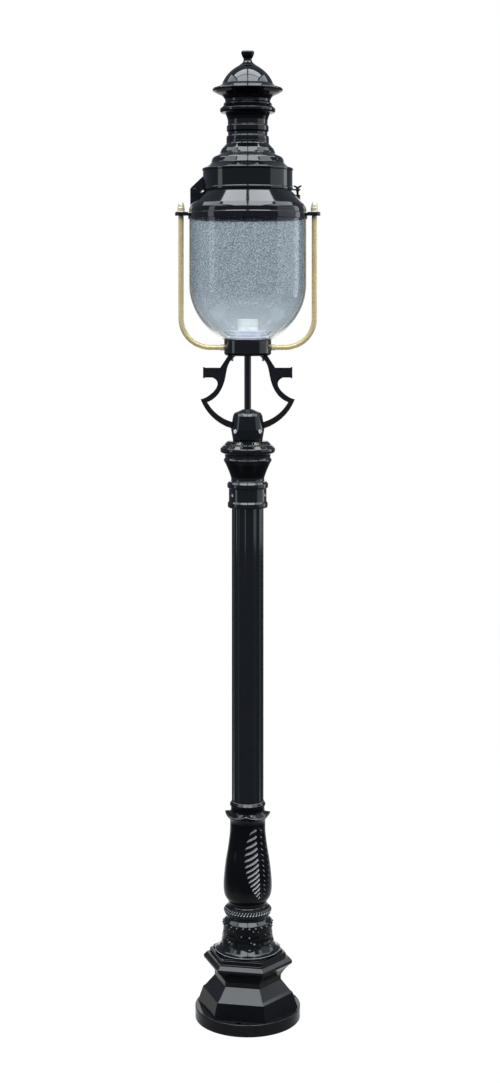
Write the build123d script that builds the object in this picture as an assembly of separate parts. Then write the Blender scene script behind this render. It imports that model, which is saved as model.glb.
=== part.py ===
from build123d import *
from math import asin, cos, degrees, radians, sin, sqrt
import os

# Outdoor lantern: a glazed lantern head with a hinged lid, on a cast and fluted post.
# Millimetres, +Z up. The origin is the centre of the foot, on the ground.
# The brass arms, the scroll brackets, the lid hinge (-X) and the thumb screw (+X) lie in the XZ plane.

# Fits
SLIP = 0.1  # radial play where one casting drops into another
SCREW_PLAY = 0.05  # radial play of a screw, stud or threaded rod
PIN_PLAY = 0.05  # radial running play of the hinge pin and the thumb screw
SIDE_PLAY = 0.3  # end play of moving pieces
THREAD_ROOM = 1.0  # empty end of a blind threaded hole
PAST = 1.0  # how far a cut runs past the face it opens in

# Round foot
FOOT_RADIUS = 125.0
FOOT_RIM_HEIGHT = 28.0
RIM_CHAMFER = 1.5
FOOT_WALL = 29.0  # foot's wall round its cavity
FOOT_CAVITY_STRAIGHT = 20.0
PEDESTAL_BORE = 60.0
ANCHOR_COUNT = 3
ANCHOR_HOLE_RADIUS = 6.0

# Hexagonal pedestal, radii to the corners
HEX_TURN = 49.6  # direction of one corner, degrees from +X
PLINTH_INSET = 1.0  # plinth's corners inside the foot's edge
PLINTH_TAPER = 12.0
PLINTH_HEIGHT = 36.0
LEDGE_WIDTH = 7.0
LEDGE_RISE = 4.0
NECK_CORNER = 80.0
SLOPE_HEIGHT = 28.0
NECK_HEIGHT = 6.0
COVE_HEIGHT = 30.0
COVE_STEPS = 5
EDGE_CORNER = 107.6
EDGE_HEIGHT = 6.0
EDGE_BEVEL_HEIGHT = 8.0
EDGE_BEVEL_CORNER = 100.0
STEP_CORNER = 92.0
STEP_LEDGE_RISE = 1.0
STEP_HEIGHT = 10.0
ROOF_CORNER = 84.0
ROOF_HEIGHT = 7.0

# Bell on top of the pedestal, round, and the register that centres it
BELL_LIP_HEIGHT = 6.0
BELL_FLARE = 22.0
BELL_FLARE_HEIGHT = 36.0
BELL_RADIUS = 58.0
BELL_BAND_HEIGHT = 17.0
BELL_COVE_HEIGHT = 13.0
BELL_COVE_HOLLOW = 0.25  # middle of the cove, as a share of its depth
BELL_TOP_RADIUS = 52.0
BELL_LAND_HEIGHT = 8.0
BELL_BORE = 44.0
REGISTER_HEIGHT = 4.0
REGISTER_WALL = 3.0
WEB_THICKNESS = 10.0

# Cable entry in the pedestal's web
GROMMET_OFFSET = 28.0
GROMMET_BORE = 6.0
GROMMET_WALL = 2.5
GROMMET_FLANGE = 2.5

# Fluted column
COLUMN_RADIUS = 38.2
COLUMN_WALL = 5.4
COLUMN_SHOWN = 698.0
FLUTE_COUNT = 14
FLUTE_DEPTH = 2.4
FLUTE_RADIUS = 17.0
FLUTE_TURN = -95.0  # direction of one arris, degrees from +X
SOCKET_DEPTH = 73.0  # how far the column stands in the baluster
SOCKET_LEDGE = 5.2  # width of the ledges that carry the column's ends

# Rope collar and baluster
ROPE_RADIUS = 57.0
ROPE_HEIGHT = 22.0
ROPE_SHOULDER = 51.0
BALUSTER_HEIGHT = 248.0
BALUSTER_FOOT_WALL = 9.8
BALUSTER_NECK_WALL = 7.6
BALUSTER_SWELL_WALL = 19.3
BALUSTER_WAIST_WALL = 5.0
BALUSTER_LIP_WALL = 2.6
# Heights of the baluster's neck, swell and waist, as shares of its height
NECK_SHARE = 0.04
SWELL_SHARE = 0.2
WAIST_SHARE = 0.8
FALL_SHARE = 0.42  # how much of the swell is left half-way to the waist
LEAF_TURN = -94.0  # direction of one leaf tip, degrees from +X
LEAF_COUNT = 4
LEAF_REACH = 18.0
LEAF_DIP = 7.0
LEAF_RISE = 24.0
LEAF_LIP = 4.0
LEAF_TRIM = 1.0  # cut off the flare by its star-shaped rim
LEAF_TOP_DROP = 15.0

# Tie rod through the post
TIE_RADIUS = 8.0
TIE_OVERRUN = 4.0
TIE_NUT_FLATS = 24.0
TIE_NUT_HEIGHT = 13.0
TIE_WASHER_RADIUS = 15.0
TIE_WASHER_HEIGHT = 3.0

# Capital
CAPITAL_RING_WALL = 9.8
CAPITAL_RING_HEIGHT = 16.0
CAPITAL_COLLAR_WALL = 7.1
CAPITAL_COLLAR_HEIGHT = 31.0
CAPITAL_BAND_WALL = 10.8
CAPITAL_BAND_HEIGHT = 16.0
CAPITAL_WAIST_WALL = 1.8
CAPITAL_WAIST_HEIGHT = 5.0
CAPITAL_VASE_WALL = 18.3
CAPITAL_VASE_HEIGHT = 51.0
VASE_BELLY_OUT = 0.3  # place of the vase's belly, as shares of its flare and height
VASE_BELLY_UP = 0.45
CAPITAL_NECK_HEIGHT = 11.0
CAPITAL_NECK_TAPER = 1.0
CAPITAL_TORUS_WALL = 27.6
CAPITAL_TORUS_HEIGHT = 18.0
CAPITAL_CAP_WALL = 12.4
CAPITAL_CAP_HEIGHT = 12.0
CAPITAL_SOCKET_DEPTH = 51.0
CAPITAL_WEB = 18.0
CAPITAL_CABLE_HOLE = 4.5
CAPITAL_CABLE_OFFSET = 20.5
GRUB_COUNT = 3
GRUB_RADIUS = 4.0
GRUB_INSET = 0.6
GRUB_SOCKET = 2.0
GRUB_SOCKET_DEPTH = 3.5
GRUB_TURN = -144.0

# Domed post top and its spigot
DOME_FOOT_RADIUS = 35.5
DOME_BELT_RADIUS = 40.2
DOME_BELT_HEIGHT = 24.0
DOME_SHOULDER_RADIUS = 35.0
DOME_SHOULDER_HEIGHT = 61.0
DOME_CROWN_RADIUS = 12.0
DOME_HEIGHT = 72.0
DOME_WALL = 3.4
DOME_TOP_WALL = 19.0
DOME_CAVITY_CONE = 12.0  # height and draw-in of the cone under the dome's ceiling
DOME_CAVITY_DRAW = 8.0
SPIGOT_WALL = 6.0
SPIGOT_HEIGHT = 29.0
DOME_SCREW_COUNT = 4
DOME_SCREW_TURN = 45.0
DOME_SCREW_HEIGHT = 23.0
DOME_SCREW_RADIUS = 2.5
DOME_SCREW_HEAD = 4.8
DOME_SCREW_HEAD_HEIGHT = 3.2
SLOT_WIDTH = 1.4
SLOT_DEPTH = 1.5
SLOT_TURN = 40.0

# Stem
STEM_RADIUS = 8.25
STEM_BORE = 5.0
STEM_SHOWN = 130.0
STEM_NUT_FLATS = 24.0
STEM_NUT_HEIGHT = 8.5
STEM_OVERRUN = 4.0

# Gallery cup
GALLERY_RADIUS = 56.6
GALLERY_HEIGHT = 37.5
GALLERY_ROUNDING = 8.0
GALLERY_FLOOR = 6.0
GALLERY_BORE = 42.0
GALLERY_RIM_WALL = 5.1
GALLERY_LEDGE_DROP = 7.0

# Scroll brackets under the gallery
BRACKET_THICKNESS = 12.0
BRACKET_ROOT_WIDTH = 20.5
BRACKET_ROOT_INSET = 1.6  # from the gallery's rounding
REST_REACH = 106.4  # end of the ladder rest from the axis
REST_ROOT = 65.6
REST_DROP = 28.5
REST_HEIGHT = 23.6
REST_FLANGE = 1.6
REST_FLANGE_THICKNESS = 4.0
HOOK_START = 84.0
HOOK_DEEPEST = 72.0
HOOK_DEEPEST_DROP = 13.0  # below the ladder rest
HOOK_LOW = 86.0
HOOK_LOW_DROP = 37.5
TIP_REACH = 112.3
TIP_DROP = 103.5
TIP_SLANT = 7.2
BRACKET_WIDTH = 16.0
# Places of the lower sweep's bends, as shares of its run and its rise
SWEEP_OUTER = (0.62, 0.37)
SWEEP_INNER = (0.58, 0.36)
# Swan-neck edge under the gallery: three bends beside the hook and the rest
SWAN_LOW_INSET = 4.0
SWAN_LOW_RISE = 15.0
SWAN_THROAT_EXTRA = 2.3
SWAN_THROAT_DROP = 2.0
SWAN_TOP_INSET = 6.5
SWAN_TOP_RISE = 4.0
BRACKET_BURY = 8.0  # the foot's outline runs this far into the dome, which trims it
BRACKET_FOOT_HEIGHT = 35.0  # middle of the lower end above the dome's foot
BRACKET_SCREW_RADIUS = 2.5
BRACKET_SCREW_HEAD = 4.5
BRACKET_SCREW_HEAD_HEIGHT = 4.0
BRACKET_SCREW_GRIP = 14.0

# Brass arms
ARM_RADIUS = 6.35
ARM_GAP = 12.65  # between the glass and an arm
ARM_BEND = 70.0
ARM_HEIGHT = 19.5  # arm's middle line above the gallery's underside
ARM_TAIL = 9.0  # length of an arm inside the gallery's bore
ARM_COLLAR_RADIUS = 7.6
ARM_COLLAR_LENGTH = 9.0
ARM_NUT_FLATS = 17.0
ARM_NUT_LENGTH = 6.0
ARM_STUD_RADIUS = 4.0
ACORN_FLATS = 16.0
ACORN_RADIUS = 7.7
ACORN_HEIGHT = 24.0
ACORN_BASE = 9.0
ACORN_THREAD = 15.0
ARM_WASHER_RADIUS = 10.5
ARM_WASHER_HEIGHT = 1.6

# Lampholder and its seal
LAMP_PLATE_THICKNESS = 2.5
PLATE_SCREW_COUNT = 2
PLATE_SCREW_TURN = 90.0
PLATE_SCREW_RADIUS = 2.0
PLATE_SCREW_HEAD = 3.4
PLATE_SCREW_LENGTH = 12.0
HOLDER_RADIUS = 25.0
HOLDER_BODY_HEIGHT = 38.5
HOLDER_RING_HEIGHT = 16.0
HOLDER_RING_PROUD = 0.5
SOCKET_RADIUS = 13.3
SOCKET_WALL = 1.0
SOCKET_LENGTH = 26.0
SOCKET_INSET = 5.0
SOCKET_FLANGE = 2.0
CONTACT_RADIUS = 4.0
CONTACT_HEIGHT = 3.0
NIPPLE_RADIUS = 5.0
NIPPLE_BORE = 3.5
NIPPLE_GRIP = 11.0
NIPPLE_OVERRUN = 1.0
NIPPLE_NUT_FLATS = 17.0
NIPPLE_NUT_HEIGHT = 5.0
SEAL_TIERS = 3
SEAL_TIER_STEP = 4.0
SEAL_HEIGHT = 27.5

# Glass bowl
BOWL_GASKET = 2.0
BOWL_RADIUS = 140.0
BOWL_ROUND_HEIGHT = 146.0  # height of the round end, were it closed
BOWL_ROUND_KEPT = 132.0  # height of the round end above the flat foot
BOWL_HEIGHT = 295.0
BOWL_WALL = 4.0
BOWL_FOOT_WALL = 5.0
BOWL_NECK_PLAY = 1.2

# Canopy: brim, conical skirt and ears
RIM_GASKET = 3.0
BRIM_LIP = 2.0  # brim's wall outside the glass
BRIM_HEIGHT = 19.0
BRIM_POCKET = 9.0  # how far the glass stands up into the brim
BRIM_CHAMFER = 1.5
BRIM_LEDGE = 2.5
BRIM_LIP_PLAY = 1.0
SKIRT_SETBACK = 3.5  # skirt's foot inside the brim's edge
SKIRT_STEP = 5.0
SKIRT_RUN = 33.5  # how far the skirt comes in on its way up
SKIRT_HEIGHT = 41.0
SKIRT_WALL = 6.0
SKIRT_FLANGE = 10.0
EAR_RADIUS = 14.5
EAR_THICKNESS = 9.0
EAR_DROP = 2.0  # ear's top below the brim's top

# Lid: drum with stepped roof
LID_GASKET = 3.0
LID_GASKET_WIDTH = 7.0
LID_GASKET_INSET = 1.0
DRUM_OVERHANG = 1.5  # drum's side outside the skirt's top
DRUM_BEAD = 1.5
DRUM_BEAD_HEIGHT = 6.0
DRUM_HEIGHT = 54.0
DRUM_WALL = 4.0
DRUM_LIP_INSET = 2.0  # drum's inner lip outside the skirt's opening
ROOF_EAVE = 2.5  # roof's foot inside the drum's side
ROOF_OVOLO_RADIUS = 88.0
ROOF_COVE_RISE = 14.0
ROOF_COVE_BEND = (0.47, 0.47)  # middle of the cove, as shares of its width and rise
ROOF_STEP_RADIUS = 66.8
ROOF_OVOLO_RISE = 20.0
ROOF_LEDGE = 3.0
ROOF_STEP_RISE = 9.0
ROOF_CAP_RADIUS = 53.7
ROOF_CAP_RISE = 21.0
ROOF_CAP_SHOULDER = (0.72, 0.62)  # shares of the cap's width and rise
ROOF_OPENING = 40.0
ROOF_SEAT = 7.0

# Chimney
CHIMNEY_RADIUS = 48.0
CHIMNEY_BORE = 42.0
CHIMNEY_HEIGHT = 85.0
CHIMNEY_RIB = 2.4
CHIMNEY_RIB_HEIGHT = 11.0
CHIMNEY_RIB_RISE = 27.5
CHIMNEY_FOOT_HEIGHT = 9.0
CHIMNEY_FLARE_RADIUS = 53.0
CHIMNEY_FLARE_HEIGHT = 66.0
CHIMNEY_RING_RADIUS = 66.5
CHIMNEY_RING_HEIGHT = 15.0
CHIMNEY_RING_ROUND = 3.0

# Hood
HOOD_NECK_RADIUS = 55.0
HOOD_NECK_HEIGHT = 14.0
HOOD_BRIM_RADIUS = 84.7
HOOD_NECK_SPLAY = 2.0
HOOD_FLARE_HEIGHT = 20.0
HOOD_FLARE_BEND = (0.39, 0.48)  # shares of the flare's width and rise
HOOD_LIP_HEIGHT = 6.0
HOOD_LIP_ROUND = 1.5
HOOD_DOME_RADIUS = 64.0
HOOD_SHOULDER_HEIGHT = 11.0
HOOD_SHOULDER_OUT = 6.0
HOOD_SHOULDER_DROP = 3.0
HOOD_CROWN_RADIUS = 24.0
HOOD_BULGE = (0.6, 0.56)  # shares of the dome's width and rise
HOOD_HEIGHT = 95.0
HOOD_WALL = 5.0

# Finial and the rod that clamps the lid's castings
FINIAL_HEIGHT = 35.0
FINIAL_FOOT_RADIUS = 22.0
FINIAL_NECK_RADIUS = 10.7
FINIAL_KNOB_RADIUS = 16.7
FINIAL_TOP_RADIUS = 13.0
# Heights of the finial's bend, neck and knob, as shares of its height
FINIAL_BEND_SHARE = 0.2
FINIAL_NECK_SHARE = 0.4
FINIAL_KNOB_SHARE = 0.78
FINIAL_BEND_OUT = 0.25
FINIAL_ROD_RADIUS = 4.0
FINIAL_THREAD = 18.0
CLAMP_BAR_OVERLAP = 9.0
CLAMP_BAR_ROOM = 3.0  # free space past the bar's ends
CLAMP_BAR_WIDTH = 22.0
CLAMP_BAR_THICKNESS = 5.0
ROD_NUT_FLATS = 13.0
ROD_NUT_HEIGHT = 6.5
ROD_OVERRUN = 5.0

# Hinge
HINGE_OFFSET = 18.5  # pin outside the drum's side
HINGE_PIN_RADIUS = 3.0
HINGE_EYE_RADIUS = 11.0
TONGUE_THICKNESS = 12.0
CHEEK_THICKNESS = 8.0
CHEEK_RISE = 33.0
CHEEK_NOTCH = 5.0  # cheeks' underside above the drum's foot
PIN_HEAD_RADIUS = 4.6
PIN_HEAD_HEIGHT = 2.0

# Thumb screw that holds the lid shut
LATCH_OFFSET = 11.5  # screw outside the drum's side
LATCH_TAB_RADIUS = 7.0
LATCH_TAB_THICKNESS = 3.5
LATCH_RADIUS = 3.0
LATCH_BOSS_WALL = 2.5
LATCH_BOSS_DROP = 10.0  # boss's top below the drum
LATCH_HOLE_PLAY = 1.0  # room for the screw's tip as the lid swings up
LATCH_HOLE_DEPTH = 8.0
LATCH_TIP = 6.5
LATCH_COLLAR_RADIUS = 4.6
LATCH_COLLAR_HEIGHT = 1.6
LATCH_HUB_HEIGHT = 4.0
LATCH_WING_SPAN = 9.4
LATCH_WING_ROOT = 4.7
LATCH_WING_SHOULDER = 2.4
LATCH_WING_HEIGHT = 6.0
LATCH_WING_SINK = 1.0
LATCH_WING_THICKNESS = 2.4

# Heights along the axis, each piece standing on the one below
Z_PLINTH = FOOT_RIM_HEIGHT + PLINTH_HEIGHT
Z_LEDGE = Z_PLINTH + LEDGE_RISE
Z_NECK = Z_LEDGE + SLOPE_HEIGHT
Z_COVE = Z_NECK + NECK_HEIGHT
Z_EDGE = Z_COVE + COVE_HEIGHT
Z_EDGE_TOP = Z_EDGE + EDGE_HEIGHT
Z_BEVEL = Z_EDGE_TOP + EDGE_BEVEL_HEIGHT
Z_STEP = Z_BEVEL + STEP_HEIGHT
Z_ROOF = Z_STEP + ROOF_HEIGHT
Z_BELL_LIP = Z_ROOF + BELL_LIP_HEIGHT
Z_BAND = Z_BELL_LIP + BELL_FLARE_HEIGHT
Z_BELL_COVE = Z_BAND + BELL_BAND_HEIGHT
Z_BELL_LAND = Z_BELL_COVE + BELL_COVE_HEIGHT
Z_ROPE = Z_BELL_LAND + BELL_LAND_HEIGHT
Z_WEB = Z_ROOF - WEB_THICKNESS
Z_BALUSTER = Z_ROPE + ROPE_HEIGHT
Z_BALUSTER_TOP = Z_BALUSTER + BALUSTER_HEIGHT
Z_COLUMN = Z_BALUSTER_TOP - SOCKET_DEPTH
Z_CAPITAL = Z_BALUSTER_TOP + COLUMN_SHOWN
Z_COLUMN_TOP = Z_CAPITAL + CAPITAL_SOCKET_DEPTH
Z_COLLAR = Z_CAPITAL + CAPITAL_RING_HEIGHT
Z_CAP_BAND = Z_COLLAR + CAPITAL_COLLAR_HEIGHT
Z_WAIST = Z_CAP_BAND + CAPITAL_BAND_HEIGHT
Z_VASE = Z_WAIST + CAPITAL_WAIST_HEIGHT
Z_CAP_NECK = Z_VASE + CAPITAL_VASE_HEIGHT
Z_TORUS = Z_CAP_NECK + CAPITAL_NECK_HEIGHT
Z_CAP = Z_TORUS + CAPITAL_TORUS_HEIGHT
Z_DOME = Z_CAP + CAPITAL_CAP_HEIGHT
Z_DOME_TOP = Z_DOME + DOME_HEIGHT
Z_DOME_CEILING = Z_DOME_TOP - DOME_TOP_WALL
Z_GALLERY = Z_DOME_TOP + STEM_SHOWN
Z_GALLERY_FLOOR = Z_GALLERY + GALLERY_FLOOR
Z_GALLERY_TOP = Z_GALLERY + GALLERY_HEIGHT
Z_LAMP_PLATE = Z_GALLERY_TOP - GALLERY_LEDGE_DROP
Z_HOLDER = Z_LAMP_PLATE + LAMP_PLATE_THICKNESS
Z_HOLDER_RING = Z_HOLDER + HOLDER_BODY_HEIGHT
Z_HOLDER_TOP = Z_HOLDER_RING + HOLDER_RING_HEIGHT
Z_SOCKET_TOP = Z_HOLDER_TOP - SOCKET_INSET
Z_SOCKET = Z_SOCKET_TOP - SOCKET_LENGTH
Z_BOWL = Z_GALLERY_TOP + BOWL_GASKET
Z_BOWL_ROUND = Z_BOWL + BOWL_ROUND_KEPT
Z_BOWL_TOP = Z_BOWL + BOWL_HEIGHT
Z_BRIM = Z_BOWL_TOP - BRIM_POCKET
Z_BRIM_CEILING = Z_BOWL_TOP + RIM_GASKET
Z_BRIM_TOP = Z_BRIM + BRIM_HEIGHT
Z_SKIRT = Z_BRIM_TOP + SKIRT_STEP
Z_SKIRT_TOP = Z_SKIRT + SKIRT_HEIGHT
Z_EAR_TOP = Z_BRIM_TOP - EAR_DROP
Z_EAR = Z_EAR_TOP - EAR_THICKNESS
Z_LID = Z_SKIRT_TOP + LID_GASKET
Z_ROOF_COVE = Z_LID + DRUM_HEIGHT
Z_OVOLO = Z_ROOF_COVE + ROOF_COVE_RISE
Z_ROOF_STEP = Z_OVOLO + ROOF_OVOLO_RISE
Z_ROOF_CAP = Z_ROOF_STEP + ROOF_STEP_RISE
Z_CHIMNEY = Z_ROOF_CAP + ROOF_CAP_RISE
Z_HOOD = Z_CHIMNEY + CHIMNEY_HEIGHT
Z_FINIAL = Z_HOOD + HOOD_HEIGHT
Z_ARM = Z_GALLERY + ARM_HEIGHT
Z_GRUB = Z_COLLAR + CAPITAL_COLLAR_HEIGHT / 2
Z_DOME_SCREW = Z_DOME + DOME_SCREW_HEIGHT
Z_BRACKET_FOOT = Z_DOME + BRACKET_FOOT_HEIGHT
Z_CLAMP = Z_CHIMNEY - ROOF_SEAT

# Radii that several pieces share
FOOT_CAVITY_RADIUS = FOOT_RADIUS - FOOT_WALL
PLINTH_FOOT = FOOT_RADIUS - PLINTH_INSET
PLINTH_TOP = PLINTH_FOOT - PLINTH_TAPER
LEDGE_INNER = PLINTH_TOP - LEDGE_WIDTH
POST_BORE = COLUMN_RADIUS - SOCKET_LEDGE
POST_SOCKET = COLUMN_RADIUS + SLIP
SPIGOT_RADIUS = DOME_FOOT_RADIUS - DOME_WALL - SLIP
GALLERY_RIM_BORE = GALLERY_RADIUS - GALLERY_RIM_WALL
SEAL_RADIUS = GALLERY_RIM_BORE - SLIP
BOWL_NECK = GALLERY_RIM_BORE + BOWL_NECK_PLAY
BRIM_RADIUS = BOWL_RADIUS + BRIM_LIP_PLAY + BRIM_LIP
SKIRT_FOOT_RADIUS = BRIM_RADIUS - SKIRT_SETBACK
SKIRT_TOP_RADIUS = SKIRT_FOOT_RADIUS - SKIRT_RUN
DRUM_RADIUS = SKIRT_TOP_RADIUS + DRUM_OVERHANG
ROOF_COVE_FOOT = DRUM_RADIUS - ROOF_EAVE
HINGE_REACH = DRUM_RADIUS + HINGE_OFFSET
LATCH_REACH = DRUM_RADIUS + LATCH_OFFSET
ARM_REACH = BOWL_RADIUS + ARM_GAP + ARM_RADIUS
BRIM_BORE = SKIRT_FOOT_RADIUS - SKIRT_WALL - BRIM_LEDGE
SKIRT_OPENING = SKIRT_TOP_RADIUS - SKIRT_FLANGE
CLAMP_BORE = ROOF_OPENING + CLAMP_BAR_OVERLAP + CLAMP_BAR_ROOM
HEX_HALF_SIDE = 30.0  # from a corner's direction to the middle of a side, degrees
ANCHOR_TURN = HEX_TURN - HEX_HALF_SIDE
ANCHOR_CIRCLE_RADIUS = (FOOT_RADIUS + PLINTH_FOOT * cos(radians(HEX_HALF_SIDE))) / 2
BRACKET_ROOT_OUT = GALLERY_RADIUS - GALLERY_ROUNDING - BRACKET_ROOT_INSET
BRACKET_ROOT_IN = BRACKET_ROOT_OUT - BRACKET_ROOT_WIDTH
BRACKET_SCREW_REACH = (BRACKET_ROOT_IN + BRACKET_ROOT_OUT) / 2
ARM_INNER_END = GALLERY_BORE - ARM_TAIL

LOW = (Align.CENTER, Align.CENTER, Align.MIN)


def turned(*curves):
    """Turn a closed outline of (radius, height) curves about the vertical axis."""
    return revolve(Plane.XZ * make_face(Curve() + list(curves)), Axis.Z)


def turned_corners(*corners):
    """Turn a straight-sided outline, given by its (radius, height) corners."""
    return turned(Polyline(*corners, close=True))


def oval(centre, x_radius, y_radius, start, end):
    """Exact arc of an upright ellipse between two angles in degrees."""
    middle = radians((start + end) / 2)
    half = radians((end - start) / 2)
    reach = 1 / cos(half)

    def point(angle, stretch):
        across = centre[0] + stretch * x_radius * cos(angle)
        up = centre[1] + stretch * y_radius * sin(angle)
        return across, up

    ends = point(radians(start), 1), point(radians(end), 1)
    return Bezier(ends[0], point(middle, reach), ends[1], weights=[1, cos(half), 1])


def between(start, end, shares):
    """Point at given shares of the way across and up from one point to another."""
    across = start[0] + shares[0] * (end[0] - start[0])
    up = start[1] + shares[1] * (end[1] - start[1])
    return across, up


def plate(thickness, *curves):
    """Flat plate in the XZ plane, as thick along Y, about the plane's middle."""
    return extrude(Plane.XZ * make_face(Curve() + list(curves)), thickness / 2, both=True)


def rod(radius, low, high):
    """Upright round bar on the axis."""
    return Pos(0, 0, low) * Cylinder(radius, high - low, align=LOW)


def tube(radius, bore, low, high):
    """Upright ring or pipe on the axis."""
    return rod(radius, low, high) - rod(bore, low, high)


def side_rod(radius, height, start, end):
    """Round bar along +X at a height, between two distances from the axis."""
    return Pos(start, 0, height) * Rot(0, 90, 0) * Cylinder(radius, end - start, align=LOW)


def hex_nut(flats, bore, low, high):
    """Upright hexagon nut on the axis."""
    hexagon = RegularPolygon(flats / 2, 6, major_radius=False)
    return Pos(0, 0, low) * extrude(hexagon, high - low) - rod(bore, low, high)


def around(count, first, shape):
    """Copies of a shape evenly round the axis, from a first angle."""
    return Part() + [Rot(0, 0, first + k * 360 / count) * shape for k in range(count)]


def both_sides(shape):
    """A shape and its mirror image on the other side of the YZ plane."""
    return Part() + [shape, mirror(shape, Plane.YZ)]


def pedestal_corner(radius, height):
    """One hexagonal level of the pedestal."""
    return Pos(0, 0, height) * Rot(0, 0, HEX_TURN) * RegularPolygon(radius, 6)


def pedestal_tower():
    """Hexagonal pedestal: tapered plinth, sloped waist, cove, bevelled edge, step and roof."""
    cove_depth = EDGE_CORNER - NECK_CORNER
    levels = [
        (PLINTH_FOOT, FOOT_RIM_HEIGHT),
        (PLINTH_TOP, Z_PLINTH),
        (LEDGE_INNER, Z_LEDGE),
        (NECK_CORNER, Z_NECK),
    ]
    for step in range(COVE_STEPS):
        share = step / COVE_STEPS
        levels.append((EDGE_CORNER - cove_depth * sqrt(1 - share**2), Z_COVE + share * COVE_HEIGHT))
    levels += [
        (EDGE_CORNER, Z_EDGE),
        (EDGE_CORNER, Z_EDGE_TOP),
        (EDGE_BEVEL_CORNER, Z_BEVEL),
        (STEP_CORNER, Z_BEVEL + STEP_LEDGE_RISE),
        (STEP_CORNER, Z_STEP),
        (ROOF_CORNER, Z_ROOF),
    ]
    return loft([pedestal_corner(radius, height) for radius, height in levels], ruled=True)


def pedestal_base():
    """Hollow casting: round foot and hexagon, with a web at its top for the tie rod and the cable."""
    rim = turned_corners(
        (0, 0),
        (FOOT_RADIUS, 0),
        (FOOT_RADIUS, FOOT_RIM_HEIGHT - RIM_CHAMFER),
        (FOOT_RADIUS - RIM_CHAMFER, FOOT_RIM_HEIGHT),
        (0, FOOT_RIM_HEIGHT),
    )
    cavity = turned_corners(
        (0, 0),
        (FOOT_CAVITY_RADIUS, 0),
        (FOOT_CAVITY_RADIUS, FOOT_CAVITY_STRAIGHT),
        (PEDESTAL_BORE, Z_NECK),
        (PEDESTAL_BORE, Z_WEB),
        (0, Z_WEB),
    )
    anchor = Pos(ANCHOR_CIRCLE_RADIUS, 0, 0) * rod(ANCHOR_HOLE_RADIUS, 0, Z_PLINTH)
    register = BELL_BORE - SLIP
    casting = rim + pedestal_tower() - cavity
    casting += tube(register, register - REGISTER_WALL, Z_ROOF, Z_ROOF + REGISTER_HEIGHT)
    casting -= rod(TIE_RADIUS + SCREW_PLAY, Z_WEB, Z_ROOF)
    casting -= Pos(0, GROMMET_OFFSET, 0) * rod(GROMMET_BORE + GROMMET_WALL, Z_WEB, Z_ROOF)
    return casting - around(ANCHOR_COUNT, ANCHOR_TURN, anchor)


def pedestal_bell():
    """Round bell on the pedestal: lip, flared foot, band for the beads, cove and land for the rope collar."""
    flare_end = BELL_RADIUS + BELL_FLARE
    cove_depth = BELL_RADIUS - BELL_TOP_RADIUS
    flare = oval((flare_end, Z_BAND), BELL_FLARE, BELL_FLARE_HEIGHT, 180, 270)
    band = Line((BELL_RADIUS, Z_BAND), (BELL_RADIUS, Z_BELL_COVE))
    cove_middle = (BELL_TOP_RADIUS + BELL_COVE_HOLLOW * cove_depth, Z_BELL_COVE + BELL_COVE_HEIGHT / 2)
    cove = ThreePointArc((BELL_RADIUS, Z_BELL_COVE), cove_middle, (BELL_TOP_RADIUS, Z_BELL_LAND))
    inside = Polyline(
        (BELL_TOP_RADIUS, Z_BELL_LAND),
        (BELL_TOP_RADIUS, Z_ROPE),
        (BELL_BORE, Z_ROPE),
        (BELL_BORE, Z_ROOF),
        (flare_end, Z_ROOF),
        (flare_end, Z_BELL_LIP),
    )
    return turned(flare, band, cove, inside)


def cable_grommet():
    """Rubber bush that lines the cable hole in the pedestal's web."""
    hole = GROMMET_BORE + GROMMET_WALL
    low = Z_WEB - GROMMET_FLANGE
    high = Z_ROOF + GROMMET_FLANGE
    flange = hole + GROMMET_WALL
    flanges = rod(flange, low, Z_WEB) + rod(flange, Z_ROOF, high)
    return Pos(0, GROMMET_OFFSET, 0) * (rod(hole, low, high) + flanges - rod(GROMMET_BORE, low, high))


def rope_collar():
    """Round-nosed collar between the bell and the baluster."""
    low = (ROPE_SHOULDER, Z_ROPE)
    high = (ROPE_SHOULDER, Z_BALUSTER)
    nose = ThreePointArc(low, (ROPE_RADIUS, Z_ROPE + ROPE_HEIGHT / 2), high)
    bore = Polyline(high, (POST_BORE, Z_BALUSTER), (POST_BORE, Z_ROPE), low)
    return turned(nose, bore)


def leaf_flare():
    """Flared collar whose rim runs in hollow curves between curled leaf tips."""
    top = Z_BALUSTER_TOP - LEAF_TOP_DROP
    root = COLUMN_RADIUS + BALUSTER_WAIST_WALL
    tip = root + LEAF_REACH - BALUSTER_WAIST_WALL
    spread = turned_corners(
        (0, top - LEAF_RISE - LEAF_LIP),
        (root - LEAF_TRIM, top - LEAF_RISE - LEAF_LIP),
        (tip + LEAF_TRIM, top - LEAF_LIP),
        (tip + LEAF_TRIM, top),
        (root, top + LEAF_LIP),
        (0, top + LEAF_LIP),
    )
    dip = COLUMN_RADIUS + LEAF_DIP
    half = 180 / LEAF_COUNT
    rim = []
    for k in range(LEAF_COUNT):
        start, middle, end = (radians(LEAF_TURN + half * (2 * k + step)) for step in range(3))
        tips = [(tip * cos(angle), tip * sin(angle)) for angle in (start, end)]
        rim.append(ThreePointArc(tips[0], (dip * cos(middle), dip * sin(middle)), tips[1]))
    star = Pos(0, 0, Z_BALUSTER) * extrude(make_face(Curve() + rim), BALUSTER_HEIGHT)
    return spread & star


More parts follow.
